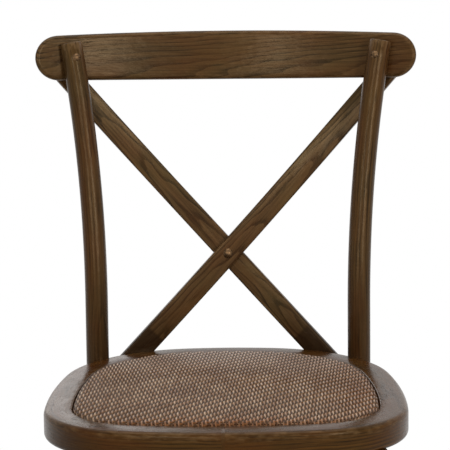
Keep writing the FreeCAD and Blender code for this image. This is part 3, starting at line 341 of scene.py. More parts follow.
rub_and_painted_light = np.zeros(rows.shape[:2])
rub_and_painted_light[:, (inset < EDGE) & (height > -EDGE - 0.1)] = 1
rub_and_painted_light[:, (inset > BAND - LIP - 0.1) & (inset < BAND + 0.1) & (height > -LIP - 0.1)] = 0.7
# Painted shade: the ring's lower faces are darkened about its front-left corner.
shaded_corner, shade_spread, shade_depth = (-188, -180), 50, 0.48
corner_shade = np.exp(-((rim - shaded_corner)**2).sum(axis=1) / shade_spread**2)
rub_and_painted_light[:, height < -5] -= shade_depth * corner_shade[:, None]
ring_elm = stained_elm("ring_elm", (26, -60), 0.01, 4.0, (0.73, 0.56, 0.3))
seat_ring = wood_piece("seat_ring_elm", rows, timber, rub_and_painted_light, round_trip=True, ends=False)
finish_piece(seat_ring, ring_elm, "frame_wood", "seat_ring")


# Rear legs: each is one steam-bent round stick that runs from the floor past the ring to the crest rail.
# It tapers a little to both ends, is bolted into the ring's corner and is sawn square at the top.
POST_TOP, FLARE_START, LEAN_START, LEAN_END, SPLAY_START, SPLAY_RUN = 867, 520, 480, 610, 430, 160
POST_RADIUS, POST_TOP_TAPER, POST_FOOT_TAPER = 15, 0.4, 2.5
# The last number is how far above and below the seat's top the legs are darkened by painted shade, in
# millimetres.
STICK_SIDES, RING_SHADE_REACH = 32, 170


def bent(distance, start, end, run, reach):
    """Sideways offset after a distance: none before start, a smooth bend, then straight to run at reach."""
    slope = run / (reach - (start + end) / 2)
    if distance <= start:
        return 0.0
    if distance < end:
        return slope * (distance - start)**2 / (2 * (end - start))
    return slope * (distance - (start + end) / 2)


def post_centre(z):
    """Middle of the left rear leg at height z, from the middle of the seat."""
    at_seat_x, at_seat_y = 173.5, 165.5
    flare_out, lean_back, splay_out, splay_back = 31.5, 66, 14, 56
    rise = max(0.0, z - FLARE_START) / (POST_TOP - FLARE_START)
    down = SPLAY_START - z
    x = at_seat_x + flare_out * rise**2 + bent(down, 0, SPLAY_RUN, splay_out, SPLAY_START)
    y = at_seat_y + bent(z, LEAN_START, LEAN_END, lean_back, POST_TOP)
    return Vector((x, y + bent(down, 0, SPLAY_RUN, splay_back, SPLAY_START), z))


def post_radius(z):
    """Radius of the rear leg at height z, thickest at the seat."""
    if z > FLARE_START:
        return POST_RADIUS - POST_TOP_TAPER * (z - FLARE_START) / (POST_TOP - FLARE_START)
    if z < SPLAY_START:
        return POST_RADIUS - POST_FOOT_TAPER * (1 - z / SPLAY_START)
    return POST_RADIUS


def round_stick(name, centre_at, radius_at, heights, side, shift, level_top=False, bevel=1.1):
    """A round stick through the given heights, sawn level at the foot, with its edges eased at both ends."""
    rows, timber, rub_and_painted_light = [], [], []
    walked, last = 0.0, None
    stations = [(heights[0], bevel)] + [(z, 0.0) for z in heights] + [(heights[-1], bevel)]
    for number, (z, eased) in enumerate(stations):
        at_foot, at_top = number <= 1, number >= len(stations) - 2
        centre = centre_at(z)
        axis = (centre_at(z + 1) - centre_at(z - 1)).normalized()
        if at_foot or (at_top and level_top):
            axis = Vector((0, 0, 1))
        across = (Vector((1, 0, 0)) - axis * axis.x).normalized()
        behind = axis.cross(across)
        radius = radius_at(z) - eased
        if number == 1:
            centre = centre + axis * bevel
        if number == len(stations) - 2:
            centre = centre - axis * bevel
        walked += (centre - last).length if last else 0.0
        last = centre
        row, place = [], []
        for k in range(STICK_SIDES):
            angle = 2 * math.pi * k / STICK_SIDES
            u, v = radius * math.cos(angle), radius * math.sin(angle)
            point = centre + across * u + behind * v
            row.append((point.x * side, point.y + SEAT_Y, point.z))
            place.append((u * side + shift[0], v + shift[1], walked + shift[2]))
        rows.append(row)
        timber.append(place)
        # Painted shade darkens the stick near the seat ring, with a sharp edge; the sawn ends are painted
        # pale all round, a painted highlight.
        painted_shade_share = max(0.0, 1 - abs(z - SEAT_TOP) / RING_SHADE_REACH)
        rub_and_painted_light.append([2.5 if at_foot or at_top else 0.12 - 0.6 * painted_shade_share] * STICK_SIDES)
    return wood_piece(name, np.array(rows), np.array(timber), np.array(rub_and_painted_light))


post_elm = stained_elm("post_elm", (9, -17), 0.012, 4.0, (0.85, 0.8, 0.69))
post_heights = [4, 60, 120, 180, 240, *range(270, 440, 20), 455, 480, *range(500, 860, 15), POST_TOP]
for side_name, side, shift in (("left", 1, (3, 2, 140)), ("right", -1, (-4, 5, 1900))):
    leg = round_stick("rear_leg_" + side_name, post_centre, post_radius, post_heights, side, shift)
    finish_piece(leg, post_elm, "frame_wood", "post_" + side_name)


# Front legs: straight round sticks, tapered to the floor, tenoned up into the ring and splayed a little.
# Elm like the rest, turned on a lathe, so their long grain runs straight down.
RING_UNDERSIDE = SEAT_TOP - HOOP_DEEP
LEG_X, LEG_Y, LEG_SPLAY_OUT, LEG_SPLAY_FORWARD = 180, -171, 16, 26
LEG_RADIUS, LEG_TAPER = 16, 4.5


def front_leg_centre(z):
    """Middle of the left front leg at height z, from the middle of the seat."""
    share = 1 - z / RING_UNDERSIDE
    return Vector((LEG_X + LEG_SPLAY_OUT * share, LEG_Y - LEG_SPLAY_FORWARD * share, z))


def front_leg_radius(z):
    """Radius of the front leg at height z."""
    return LEG_RADIUS - LEG_TAPER * (1 - z / RING_UNDERSIDE)


for side_name, side, shift in (("left", 1, (-2, 6, 700)), ("right", -1, (5, -3, 2600))):
    leg = round_stick("turned_leg_" + side_name, front_leg_centre, front_leg_radius,
                      range(4, RING_UNDERSIDE + 1, 26), side, shift, level_top=True, bevel=0.8)
    finish_piece(leg, post_elm, "frame_wood", "front_leg_" + side_name)


# Crest rail: a board sawn with round ends and a slightly arched top, then steamed and bent to a 540 mm arc.
# Its long edges are rounded over, it leans back 8 degrees, and the rear legs are let into its front face.
CREST_Z, CREST_BEND, CREST_LEAN = 844.5, 540, math.radians(8)
HALF_THICK, CREST_EDGE, TOP_SWEEP = 10, 6, 4500
RIVET_Z, POST_LET_IN = 850, 8
END_RADIUS, HALF_HEIGHT = 29.7, 32.5
END_X = 251.5 - END_RADIUS
END_SHARE = 0.14
at_rail = post_centre(RIVET_Z)
rail_reach = CREST_BEND - (post_radius(RIVET_Z) - POST_LET_IN)
CREST_AXIS_Y = at_rail.y - math.sqrt(rail_reach**2 - at_rail.x**2)
arch_lean = math.asin(END_X / (TOP_SWEEP - END_RADIUS))


def rail_edge(share, inset, upper):
    """A point of the rail's outline, share running from -1 at one end to 1 at the other."""
    side = 1 if share > 0 else -1
    away = abs(share)
    if away > 1 - END_SHARE:
        turn = (1 - away) / END_SHARE
        angle = turn * (math.pi / 2 - arch_lean) if upper else -turn * math.pi / 2
        radius = END_RADIUS - inset
        middle = END_RADIUS - HALF_HEIGHT
        return side * (END_X + radius * math.cos(angle)), middle + radius * math.sin(angle)
    along = away / (1 - END_SHARE)
    if upper:
        angle = along * arch_lean
        radius = TOP_SWEEP - inset
        return side * radius * math.sin(angle), HALF_HEIGHT - TOP_SWEEP + radius * math.cos(angle)
    return side * END_X * along, -HALF_HEIGHT + inset


def rail_point(x, z, depth):
    """A point of the bent and tilted rail in the chair's frame; depth is 0 midway through its thickness."""
    y = -CREST_BEND + math.sqrt((CREST_BEND + HALF_THICK + depth)**2 - x**2)
    back = CREST_AXIS_Y + CREST_BEND + SEAT_Y
    sine, cosine = math.sin(CREST_LEAN), math.cos(CREST_LEAN)
    return x, back + y * cosine + z * sine, CREST_Z - y * sine + z * cosine


round_over = [(CREST_EDGE * (1 - math.cos(a)), HALF_THICK - CREST_EDGE + CREST_EDGE * math.sin(a))
              for a in np.radians((0, 15, 30, 45, 60, 75, 90))]
shares = np.concatenate((-1 + END_SHARE * np.linspace(0, 1, 15)**1.3,
                         np.linspace(END_SHARE - 1, 1 - END_SHARE, 71)[1:-1],
                         1 - END_SHARE * np.linspace(1, 0, 15)**1.3))
mid_bend = CREST_BEND + HALF_THICK
# Painted shade: the crest is darkened about a place left of its middle.
shaded_x, shade_spread, shade_depth = -140, 60, 0.52
rows, timber, rub_and_painted_light = [], [], []
for share in shares:
    row, place, worn_and_shaded = [], [], []
    loop = [(i, -d, True) for i, d in reversed(round_over)] + [(i, d, True) for i, d in round_over]
    loop += [("rear", k / 8, None) for k in range(1, 8)]
    loop += [(i, d, False) for i, d in reversed(round_over)] + [(i, -d, False) for i, d in round_over]
    loop += [("front", k / 8, None) for k in range(1, 8)]
    for inset_or_face, depth, upper in loop:
        if upper is None:
            high, low = rail_edge(share, CREST_EDGE, True), rail_edge(share, CREST_EDGE, False)
            t = depth if inset_or_face == "rear" else 1 - depth
            x, z = high[0] + (low[0] - high[0]) * t, high[1] + (low[1] - high[1]) * t
            depth = HALF_THICK if inset_or_face == "rear" else -HALF_THICK
            worn_and_shaded.append(0.05)
        else:
            x, z = rail_edge(share, inset_or_face, upper)
            worn_and_shaded.append(0.9 if 0.1 < inset_or_face < CREST_EDGE - 0.1 else 0.5)
        worn_and_shaded[-1] -= shade_depth * math.exp(-((x - shaded_x) / shade_spread)**2)
        row.append(rail_point(x, z, depth))
        place.append((z, depth, mid_bend * math.asin(x / mid_bend)))
    rows.append(row)
    timber.append(place)
    rub_and_painted_light.append(worn_and_shaded)
crest_elm = stained_elm("crest_elm", (-26, 24), -0.055, 4.2, (0.92, 0.89, 0.83), 0.6)
crest = wood_piece("crest_rail_elm", np.array(rows), np.array(timber), np.array(rub_and_painted_light), ends=False)
finish_piece(crest, crest_elm, "frame_wood", "crest_rail")


# Cross slats: two thin strips, bent so that both lie on one curved surface and pass each other at the middle.
# Their feet are let into the ring's rear face and their tips lie against the back of the crest rail.
SLAT_WIDE, SLAT_THICK, SLAT_FOOT, SLAT_TIP, SLAT_ROUND = 29.5, 9, 438, 836, 440
# The second number is how far up from its foot a slat is darkened by painted shade, in millimetres.
SLAT_EDGE, SLAT_SHADE_REACH, SLAT_RUN, SLAT_CURL = 2, 110, 0.925, 0.00015
BEHIND_RING, BEHIND_RAIL = 0.5, 3
CROSSING, CROSSING_Y, LAYER, PARTING = 583, 232, 5.55, 199


def ring_rear_y(x):
    """Rear face of the seat ring at a distance x from the middle."""
    side = abs(x) - REAR_CORNER[0]
    if side < REAR_CORNER[0] / math.hypot(*(REAR_CORNER - REAR)) * REAR_TURN:
        return REAR[1] + math.sqrt(REAR_SWEEP**2 - x**2)
    return REAR_CORNER[1] + math.sqrt(REAR_TURN**2 - side**2)


def crest_rear_y(x, z):
    """Rear face of the crest rail at x and z."""
    return CREST_AXIS_Y + math.sqrt((mid_bend + HALF_THICK)**2 - x**2) + (z - CREST_Z) * math.tan(CREST_LEAN)


def slat_x(z):
    """Middle of the slat that rises toward +X."""
    return SLAT_RUN * (z - CROSSING) - SLAT_CURL * (z - CROSSING)**2


def slats_surface_y(x, z):
    """The slats' surface: let into the ring below, against the rail above, bowed back between."""
    foot_x, tip_x = slat_x(SEAT_TOP), slat_x(SLAT_TIP)
    foot_y = ring_rear_y(foot_x) + BEHIND_RING + foot_x**2 / (2 * SLAT_ROUND)
    tip_y = crest_rear_y(tip_x, SLAT_TIP) + BEHIND_RAIL + tip_x**2 / (2 * SLAT_ROUND)
    held = [(SEAT_TOP, foot_y), (CROSSING, CROSSING_Y), (SLAT_TIP, tip_y)]
    total = 0
    for zi, yi in held:
        for zj, _ in held:
            if zj != zi:
                yi *= (z - zj) / (zi - zj)
        total += yi
    return total - x**2 / (2 * SLAT_ROUND)


def slat_point(z, side, layer):
    """Middle of a slat at height z; layer is +1 behind the crossing and -1 in front of it."""
    near = max(0.0, 1 - ((z - CROSSING) / PARTING)**2)
    return Vector((side * slat_x(z), slats_surface_y(slat_x(z), z) + layer * LAYER * near**1.5, z))


def eased_oblong(wide, thick, edge):
    """Section of a flat stick with rounded edges, and the painted shade at each point, darkest on the rounded
    corners.
    """
    steps = 4
    w, t = wide / 2 - edge, thick / 2 - edge
    corners = ((w, t, 0), (-w, t, 90), (-w, -t, 180), (w, -t, 270))
    points = [p for x, y, turn in corners for p in corner_arc((x, y), edge, turn, turn + 90, steps)]
    worn_and_shaded = [-0.45 if 0 < k % (steps + 1) < steps else -0.1 for k in range(len(points))]
    return np.array(points), np.array(worn_and_shaded)


def flat_stick(name, stations, wide, thick, edge, shift, shade_reach=0):
    """A flat stick swept through stations of (middle, across, out); painted shade darkens it near its start.
    """
    bevel = 0.8
    outline, worn_and_shaded = eased_oblong(wide, thick, edge)
    first, last = stations[0], stations[-1]
    lead = (stations[1][0] - first[0]).normalized() * bevel
    tail = (last[0] - stations[-2][0]).normalized() * bevel
    path = [(first, 1), ((first[0] + lead, *first[1:]), 0)] + [(s, 0) for s in stations[1:-1]]
    path += [((last[0] - tail, *last[1:]), 0), (last, 1)]
    rows, timber, rub_and_painted_light = [], [], []
    walked, before = 0.0, None
    for (middle, across, out), eased in path:
        walked += (middle - before).length if before else 0.0
        before = middle
        shrink = np.array((1 - 2 * bevel / wide, 1 - 2 * bevel / thick)) if eased else np.ones(2)
        shape = outline * shrink
        rows.append([tuple(middle + across * u + out * v) for u, v in shape])
        timber.append([(u + shift[0], v + shift[1], walked + shift[2]) for u, v in shape])
        painted_shade_share = max(0.0, 1 - walked / shade_reach) if shade_reach else 0.0
        # Painted shade: darker rounded edges, and darker toward the start with a sharp edge; the eased ends
        # are rubbed pale where no shade lies on them.
        rub_and_painted_light.append((worn_and_shaded * 0.8 if not eased else np.ones(len(worn_and_shaded))) * (1 - painted_shade_share) - painted_shade_share)
    return wood_piece(name, np.array(rows), np.array(timber), np.array(rub_and_painted_light))


slat_elm = stained_elm("slat_elm", (-6, 19), 0.03, 3.2, (1.24, 1.28, 1.32), 0.7)
for name, side, layer, shift in (("front", 1, -1, (2, 0, 300)), ("rear", -1, 1, (-5, 3, 3300))):
    stations = []
    for z in np.linspace(SLAT_FOOT, SLAT_TIP, 61):
        middle = slat_point(z, side, layer)
        along = (slat_point(z + 2, side, layer) - slat_point(z - 2, side, layer)).normalized()
        out = Vector((middle.x / SLAT_ROUND, 1, 0))
        out = (out - along * out.dot(along)).normalized()
        stations.append((middle + Vector((0, SEAT_Y, 0)), along.cross(out), out))
    slat = flat_stick("slat_" + name, stations, SLAT_WIDE, SLAT_THICK, SLAT_EDGE, shift, shade_reach=SLAT_SHADE_REACH)
    finish_piece(slat, slat_elm, "slat_wood", "cross_slat_" + name)


# Arched braces: one bent stick each, from leg to leg, that rises up both legs and runs flat under the ring.
# Elm, screwed at its feet to the legs and at its crown to the ring's underside.
ARCH_FOOT, ARCH_KNEE, ARCH_CROWN, ARCH_BEND, LEG_CLEAR = 225, 305, 413.5, 112, 4
ARCH_WIDE, ARCH_THICK, ARCH_ROUND = 20, 13, 3.5
leg_low, leg_high = front_leg_centre(ARCH_FOOT), front_leg_centre(ARCH_KNEE)
post_low, post_high = post_centre(ARCH_FOOT), post_centre(ARCH_KNEE)


def arch_stations(start, start_slope, end, end_slope, origin, run):
    """Stations of an arch in its upright plane."""
    line = []
    for foot, slope, inward in ((start, start_slope, 1), (end, end_slope, -1)):
        rise = (ARCH_CROWN - ARCH_BEND - ARCH_FOOT + ARCH_BEND * math.sin(slope)) / math.cos(slope)
        knee = foot + inward * rise * math.sin(slope)
        middle = knee + inward * ARCH_BEND * math.cos(slope)
        half = [(foot + (knee - foot) * t, ARCH_FOOT + rise * math.cos(slope) * t, math.pi / 2 - slope)
                for t in (0, 0.25, 0.5, 0.75)]
        for k in range(17):
            turn = (math.pi / 2 - slope) * (1 - k / 16)
            half.append((middle - inward * ARCH_BEND * math.sin(turn),
                         ARCH_CROWN - ARCH_BEND + ARCH_BEND * math.cos(turn), turn))
        line.append([(x, z, inward * math.cos(turn), math.sin(turn)) for x, z, turn in half])
    first, second = line
    crown_start, crown_end = first[-1][0], second[-1][0]
    flat = [(crown_start + (crown_end - crown_start) * t, ARCH_CROWN, 1, 0) for t in (0.2, 0.4, 0.6, 0.8)]
    back = [(x, z, -dx, -dz) for x, z, dx, dz in reversed(second)]
    side = run.cross(Vector((0, 0, 1)))
    stations = []
    for x, z, dx, dz in first + flat + back:
        along = run * dx + Vector((0, 0, dz))
        stations.append((origin + run * x + Vector((0, SEAT_Y, z)), side, side.cross(along)))
    return stations


def leaning(low, high):
    """Angle of a leg's inner face, from its place at the arch's foot and at its knee."""
    return math.atan2(abs(high - low), ARCH_KNEE - ARCH_FOOT)


low_r, high_r = front_leg_radius(ARCH_FOOT), front_leg_radius(ARCH_KNEE)
post_low_r, post_high_r = post_radius(ARCH_FOOT), post_radius(ARCH_KNEE)
front_foot = leg_low.x - low_r - LEG_CLEAR
front_slope = leaning(leg_low.x - low_r, leg_high.x - high_r)
rear_foot = post_low.x - post_low_r - LEG_CLEAR
rear_slope = leaning(post_low.x - post_low_r, post_high.x - post_high_r)
side_run = Vector((post_low.x - leg_low.x, post_low.y - leg_low.y, 0))
side_middle = Vector(((leg_low.x + post_low.x) / 2, (leg_low.y + post_low.y) / 2, 0))
side_ends = (-(side_run.length / 2 - low_r - LEG_CLEAR), leaning(leg_low.y + low_r, leg_high.y + high_r),
             side_run.length / 2 - post_low_r - LEG_CLEAR,
             leaning(post_low.y - post_low_r, post_high.y - post_high_r))
sideways, mirrored = Vector((1, 0, 0)), Vector((-1, 1, 0))
arches = {
    "front": (-front_foot, front_slope, front_foot, front_slope, Vector((0, leg_low.y - 3, 0)), sideways),
    "rear": (-rear_foot, rear_slope, rear_foot, rear_slope, Vector((0, post_low.y + 3, 0)), sideways),
    "left": (*side_ends, side_middle, side_run.normalized()),
    "right": (*side_ends, side_middle * mirrored, side_run.normalized() * mirrored),
}
arch_elm = stained_elm("arch_elm", (5, -16), 0.02, 4.0, (0.85, 0.81, 0.73))
for number, (name, facts) in enumerate(arches.items()):
    shift = (number * 3 - 4, 1, 900 * number)
    brace = flat_stick("brace_" + name, arch_stations(*facts), ARCH_WIDE, ARCH_THICK, ARCH_ROUND, shift)
    finish_piece(brace, arch_elm, "frame_wood", "arch_" + name)


# Rivets: browned brass with low domed heads, one through each rear leg into the crest rail and one where
# the slats cross. Their patina is cloudy, paler where it has been rubbed.
def metal(name, dark, light, rough, patina_scale):
    """Cast or turned metal with a cloudy patina and fine scratches."""
    material, tree = new_finish(name)
    place = node(tree, "ShaderNodeTexCoord").outputs["Object"]
    mottle = stops(tree, noise(tree, place, patina_scale, 5.0), (0.35, 0.0), (0.68, 1.0))
    colour = blend_colours(tree, mottle, linear(*dark), linear(*light))
    fine = noise(tree, place, patina_scale * 6, 3.0)
    gloss = plus(tree, times(tree, fine, 0.22), rough)
    surface(tree, colour, gloss, bumped(tree, fine, 0.2, 0.0002), Metallic=0.85)
    return material


def refinish(names, material):
    """Gives parts that are shown as they were packed their own finish."""
    for name in names:
        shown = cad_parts[name]
        shown.data.materials.clear()
        shown.data.materials.append(material)


def dome_head(name, middle, way, radius, shank):
    """A rivet: a low dome that stands proud along way, a short rim and its shank."""
    dome, rim_deep, shank_radius, sides = 3.0, 0.3, 2.5, 28
    ball = (radius**2 + dome**2) / (2 * dome)
    low = math.acos(1 - dome / ball)
    profile = [(0.0, dome)] + [(ball * math.sin(a), dome - ball + ball * math.cos(a))
                               for a in np.linspace(low / 8, low, 8)]
    profile += [(radius, -rim_deep), (shank_radius, -rim_deep), (shank_radius, -shank), (0.0, -shank)]
    turn = Vector((0, 0, 1)).rotation_difference(way)
    verts, faces = [], []
    for r, h in profile:
        for k in range(sides):
            angle = 2 * math.pi * k / sides
            verts.append(tuple((middle + turn @ Vector((r * math.cos(angle), r * math.sin(angle), h))) * MM))
    for j in range(len(profile) - 1):
        for k in range(sides):
            a, b = j * sides + k, j * sides + (k + 1) % sides
            faces.append((a, a + sides, b + sides, b))
    mesh = bpy.data.meshes.new(name)
    mesh.from_pydata(verts, [], faces)
    merged = bmesh.new()
    merged.from_mesh(mesh)
    bmesh.ops.remove_doubles(merged, verts=merged.verts, dist=0.00001)
    merged.to_mesh(mesh)
    merged.free()
    mesh.polygons.foreach_set("use_smooth", [len(p.vertices) < 5 and abs(p.normal.dot(way)) > 0.3
                                             for p in mesh.polygons])
    face_out(mesh)
    return add_object(name, mesh)


CREST_HEAD, CREST_SHANK, CROSS_HEAD, CROSS_SHANK = 5.8, 30, 6.7, 16
browned_brass = metal("browned_brass", (62, 45, 28), (116, 88, 58), 0.3, 420)
for side_name, side in (("left", 1), ("right", -1)):
    centre = Vector((at_rail.x * side, at_rail.y, at_rail.z))
    way = (Vector((0, CREST_AXIS_Y, at_rail.z)) - centre).normalized()
    seat = centre + way * (post_radius(RIVET_Z) - 0.5) + Vector((0, SEAT_Y, 0))
    head = dome_head("rivet_dome_" + side_name, seat, way, CREST_HEAD, CREST_SHANK)
    finish_piece(head, browned_brass, "rivet", "crest_rivet_" + side_name)
slope = slats_surface_y(0, CROSSING + 1) - slats_surface_y(0, CROSSING - 1)
way = Vector((0, -2, slope)).normalized()
seat = slat_point(CROSSING, 1, -1) + way * (SLAT_THICK / 2 + 0.05) + Vector((0, SEAT_Y, 0))
head = dome_head("rivet_dome_cross", seat, way, CROSS_HEAD, CROSS_SHANK)
finish_piece(head, browned_brass, "rivet", "cross_rivet")


# Screws and bolts: zinc-plated steel with cut heads, through the slats' ends, the arches, the seat board
# and the rear legs. They are driven from where a sitter doesn't see them.
zinc = metal("zinc_steel", (112, 108, 98), (170, 166, 155), 0.3, 300)
refinish(("slat_screws_upper", "slat_screws_lower", "arch_screws_front", "arch_screws_rear",
          "arch_screws_left", "arch_screws_right", "post_bolt_left", "post_bolt_right", "board_screws"), zinc)


# Seat board: a crowned birch plywood panel that stands on the ring's ledge and carries the cane.
# It is left plain underneath, with a thin brown wash.
ply, tree = new_finish("washed_plywood")
place = node(tree, "ShaderNodeTexCoord").outputs["Object"]
figure = noise(tree, stretched(tree, place, 260, 12, 900), 1.0, 5.0)
cloudy = noise(tree, stretched(tree, place, 30, 5, 200), 1.0, 2.0)
streaks = stops(tree, figure, (0.35, 0.0), (0.66, 1.0))
wash = blend_colours(tree, streaks, linear(150, 118, 82), linear(116, 84, 54))
wash = blend_colours(tree, times(tree, cloudy, 0.5), wash, linear(134, 98, 62))
surface(tree, wash, 0.62, bumped(tree, figure, 0.2, 0.0003))
refinish(("seat_board",), ply)


# Woven seat: split cane in a three-over, one-under twill, glued over the crowned board and turned down at its
# edge. Strands run front to back every 4.1 mm and side to side every 4.75 mm, both a little off square.
PITCH_X, PITCH_Y = 4.1, 4.75
TURN_INSET, TURN_RADIUS = 43.4, 6.85
CROWN_TOP, CROWN_BALL, CROWN_DROP = 465.1, 2748.7, 7.6
CANE_FOOT, CANE_REACH = 441.7, 19
FLOATS = 997
SCAN_HALF, SCAN_STEP, FEWEST_STEPS = 260, 0.25, 40


def seat_reach(x, y, inset):
    """How far points lie outside the seat outline moved in by inset, and the way out."""
    best = np.full(x.shape, -1e9)
    way = np.zeros(x.shape + (2,))
    for centre, radius, first, last in seat_arcs():
        dx, dy = x - centre[0], y - centre[1]
        length = np.hypot(dx, dy)
        turn = np.mod(np.arctan2(dy, dx) - first, 2 * math.pi)
        reach = length - (radius - inset)
        take = (turn <= last - first + 1e-9) & (reach > best)
        best = np.where(take, reach, best)
        unit = np.stack((dx, dy), -1) / np.maximum(length, 1e-9)[..., None]
        way = np.where(take[..., None], unit, way)
    return best, way


def laid_on_board(x, y, lift):
    """Places flat points of the cane over the crowned board and down its edge; lift is outward."""
    past, way = seat_reach(x, y, TURN_INSET)
    over = np.maximum(past, 0)
    foot_x, foot_y = x - way[..., 0] * over, y - way[..., 1] * over
    dome = CROWN_TOP - (CROWN_BALL - np.sqrt(CROWN_BALL**2 - foot_x**2 - foot_y**2))
    angle = np.minimum(over / TURN_RADIUS, math.pi / 2)
    out = (TURN_RADIUS + lift) * np.sin(angle)
    straight_down = np.maximum(over - TURN_RADIUS * math.pi / 2, 0)
    z = dome - CROWN_DROP + (TURN_RADIUS + lift) * np.cos(angle) - straight_down
    x, y = foot_x + way[..., 0] * out, foot_y + way[..., 1] * out + SEAT_Y
    return np.stack((x, y, np.maximum(z, CANE_FOOT)), -1)


def cane_strands(name, count, pitch, cross_pitch, lengthwise, seed):
    """All strands that run one way, as one mesh."""
    luck = np.random.RandomState(seed)
    half_wide = pitch * (0.39 if lengthwise else 0.46)
    lean = 0.06 if lengthwise else 0.035
    profile = np.array(((-1, -0.8), (-0.55, 0.02), (0, 0.3), (0.55, 0.02), (1, -0.8)))
    around, crown, wide = profile[None, :, 0], profile[None, :, 1], len(profile)
    points, facts, faces, start = [], [], [], 0

    def as_xy(across, along):
        return (across, along) if lengthwise else (along, across)

    for i in range(-count, count + 1):
        # The stretch of the strand that lies on the seat, in half steps from crossing to crossing.
        middle = i * pitch + luck.uniform(-0.1, 0.1)
        scan = np.arange(-SCAN_HALF, SCAN_HALF, SCAN_STEP)
        past, _ = seat_reach(*as_xy(middle + lean * scan, scan), TURN_INSET)
        inside = scan[past < CANE_REACH]
        if len(inside) < FEWEST_STEPS:
            continue
        first, last = math.ceil(inside[0] / cross_pitch * 2), math.floor(inside[-1] / cross_pitch * 2)
        step = np.arange(first, last + 1) / 2
        run = step * cross_pitch

        # It passes over three and dives under one, a step further on from strand to strand.
        phase = step - i if lengthwise else i - step
        from_dive = np.mod(phase - 1, 4) - 2
        wave = np.exp(-(from_dive / 0.6)**2) * (-1 if lengthwise else 1)
        lift = wave + (0.5 if lengthwise else -0.5)
        which = np.floor((phase + 1) / 4).astype(int)
        from_middle = np.mod(phase + 1, 4) - 2
        floats = luck.uniform(0, 1, FLOATS)
        tone = 0.3 * luck.uniform(0, 1) + 0.7 * floats[which % FLOATS]
        # Painted highlight and shade: each float is painted pale in a bead along its middle, slanted on the
        # front-to-back strands, dark where it dives, and dimmer where it turns down the edge.
        if lengthwise:
            painted_bead_light = np.exp(-np.abs(from_middle / 1.55)**3)[:, None]
            painted_bead_light = painted_bead_light * np.exp(-((around + 0.55 * from_middle[:, None]) / 0.6)**2)
        else:
            painted_bead_light = 0.75 * np.exp(-(from_dive / 0.7)**2)[:, None] * np.exp(-(around / 0.8)**2)

        across = (middle + lean * run)[:, None] + around * half_wide
        along = np.repeat(run[:, None], wide, 1)
        past, _ = seat_reach(*as_xy(across, along), TURN_INSET)
        painted_bead_light = painted_bead_light * np.where(past > 2, 0.66, 1.0)
        placed = laid_on_board(*as_xy(across, along), lift[:, None] + crown - 0.1)
        points.append(placed.reshape(-1, 3))
        facts.append(np.stack((around * half_wide + 0 * across, tone[:, None] + 0 * across,
                               along + 31.7 * i, painted_bead_light), -1).reshape(-1, 4))
        for k in range(len(run) - 1):
            a = start + wide * k
            faces += [(a + j, a + j + 1, a + j + wide + 1, a + j + wide) for j in range(wide - 1)]
        start += wide * len(run)
    points, facts = np.concatenate(points), np.concatenate(facts)
    mesh = bpy.data.meshes.new(name)
    mesh.from_pydata((points * MM).tolist(), [], faces)
    mark_points(mesh, "strand", facts[:, :3])
    mark_points(mesh, "painted_float_light", facts[:, 3])
    mesh.polygons.foreach_set("use_smooth", [True] * len(faces))
    mesh.update()
    if mesh.polygons[len(faces) // 2].normal.z < 0:
        mesh.flip_normals()
    return add_object(name, mesh)


def split_cane(name, pale, mid, deep, dark, ior):
    """Varnished split cane: fibres along each strand, a tone for each float, a painted highlight on each
    float and painted shade where strands dive.
    """
    material, tree = new_finish(name)
    strand = attribute(tree, "strand", "Vector")
    tone = node(tree, "ShaderNodeSeparateXYZ", {0: strand}).outputs[1]
    fibre = noise(tree, stretched(tree, strand, 4.5, 7, 0.09), 1.0, 3.0)
    place = node(tree, "ShaderNodeTexCoord").outputs["Object"]
    across, back, _ = node(tree, "ShaderNodeSeparateXYZ", {0: place}).outputs
    drift = stops(tree, noise(tree, place, 23.0, 2.0), (0.4, 0.0), (0.6, 1.0))

    def tinted(colour, factor, levels):
        return blend_colours(tree, factor, colour, linear(*levels))

    colour = blend_colours(tree, stops(tree, tone, (0.2, 0.0), (0.8, 1.0)), linear(*mid), linear(*pale))
    colour = tinted(colour, times(tree, stops(tree, fibre, (0.4, 0.0), (0.7, 1.0)), 0.4), deep)
    colour = tinted(colour, times(tree, drift, 0.3), (112, 70, 44))

    # Painted shade and sheen: the cane is painted a darker amber along the front edge and on the right, where
    # it shows no sheen, and painted paler towards the back, a painted sheen.
    amber_shade = plus(tree, stops(tree, plus(tree, back, 0.23), (0.0, 0.8), (0.035, 0.0)),
                 stops(tree, across, (0.09, 0.0), (0.19, 0.3)), clamp=True)
    colour = tinted(colour, amber_shade, (178, 108, 56))
    colour = tinted(colour, stops(tree, back, (0.0, 0.0), (0.14, 0.6)), (236, 208, 188))

    # Painted shade between the floats and where strands dive, read from each point's painted light.
    painted_gap_shade = stops(tree, attribute(tree, "painted_float_light", "Fac"), (0.1, 1.0), (0.85, 0.0))
    colour = tinted(colour, times(tree, painted_gap_shade, 0.92), dark)
    gloss = plus(tree, times(tree, fibre, 0.2), 0.3)
    surface(tree, colour, gloss, bumped(tree, fibre, 0.3, 0.0002), IOR=ior, Specular_Tint=(1, 0.85, 0.7, 1))
    return material


glossy_cane = split_cane("varnished_cane", (240, 208, 176), (192, 154, 122), (126, 88, 60), (46, 26, 15),
                         ior=1.24)
# The side-to-side strands, mostly under, are a darker, matt copy of the cane: painted shade.
shaded_matt_cane = split_cane("shaded_cane", (206, 164, 124), (160, 116, 82), (104, 68, 42), (32, 18, 10), ior=1.08)
strands = cane_strands("cane_front_to_back", 54, PITCH_X, PITCH_Y, lengthwise=True, seed=3)
finish_piece(strands, glossy_cane, "cane", "seat_cane")
strands = cane_strands("cane_side_to_side", 50, PITCH_Y, PITCH_X, lengthwise=False, seed=8)
finish_piece(strands, shaded_matt_cane, "cane", "seat_cane")


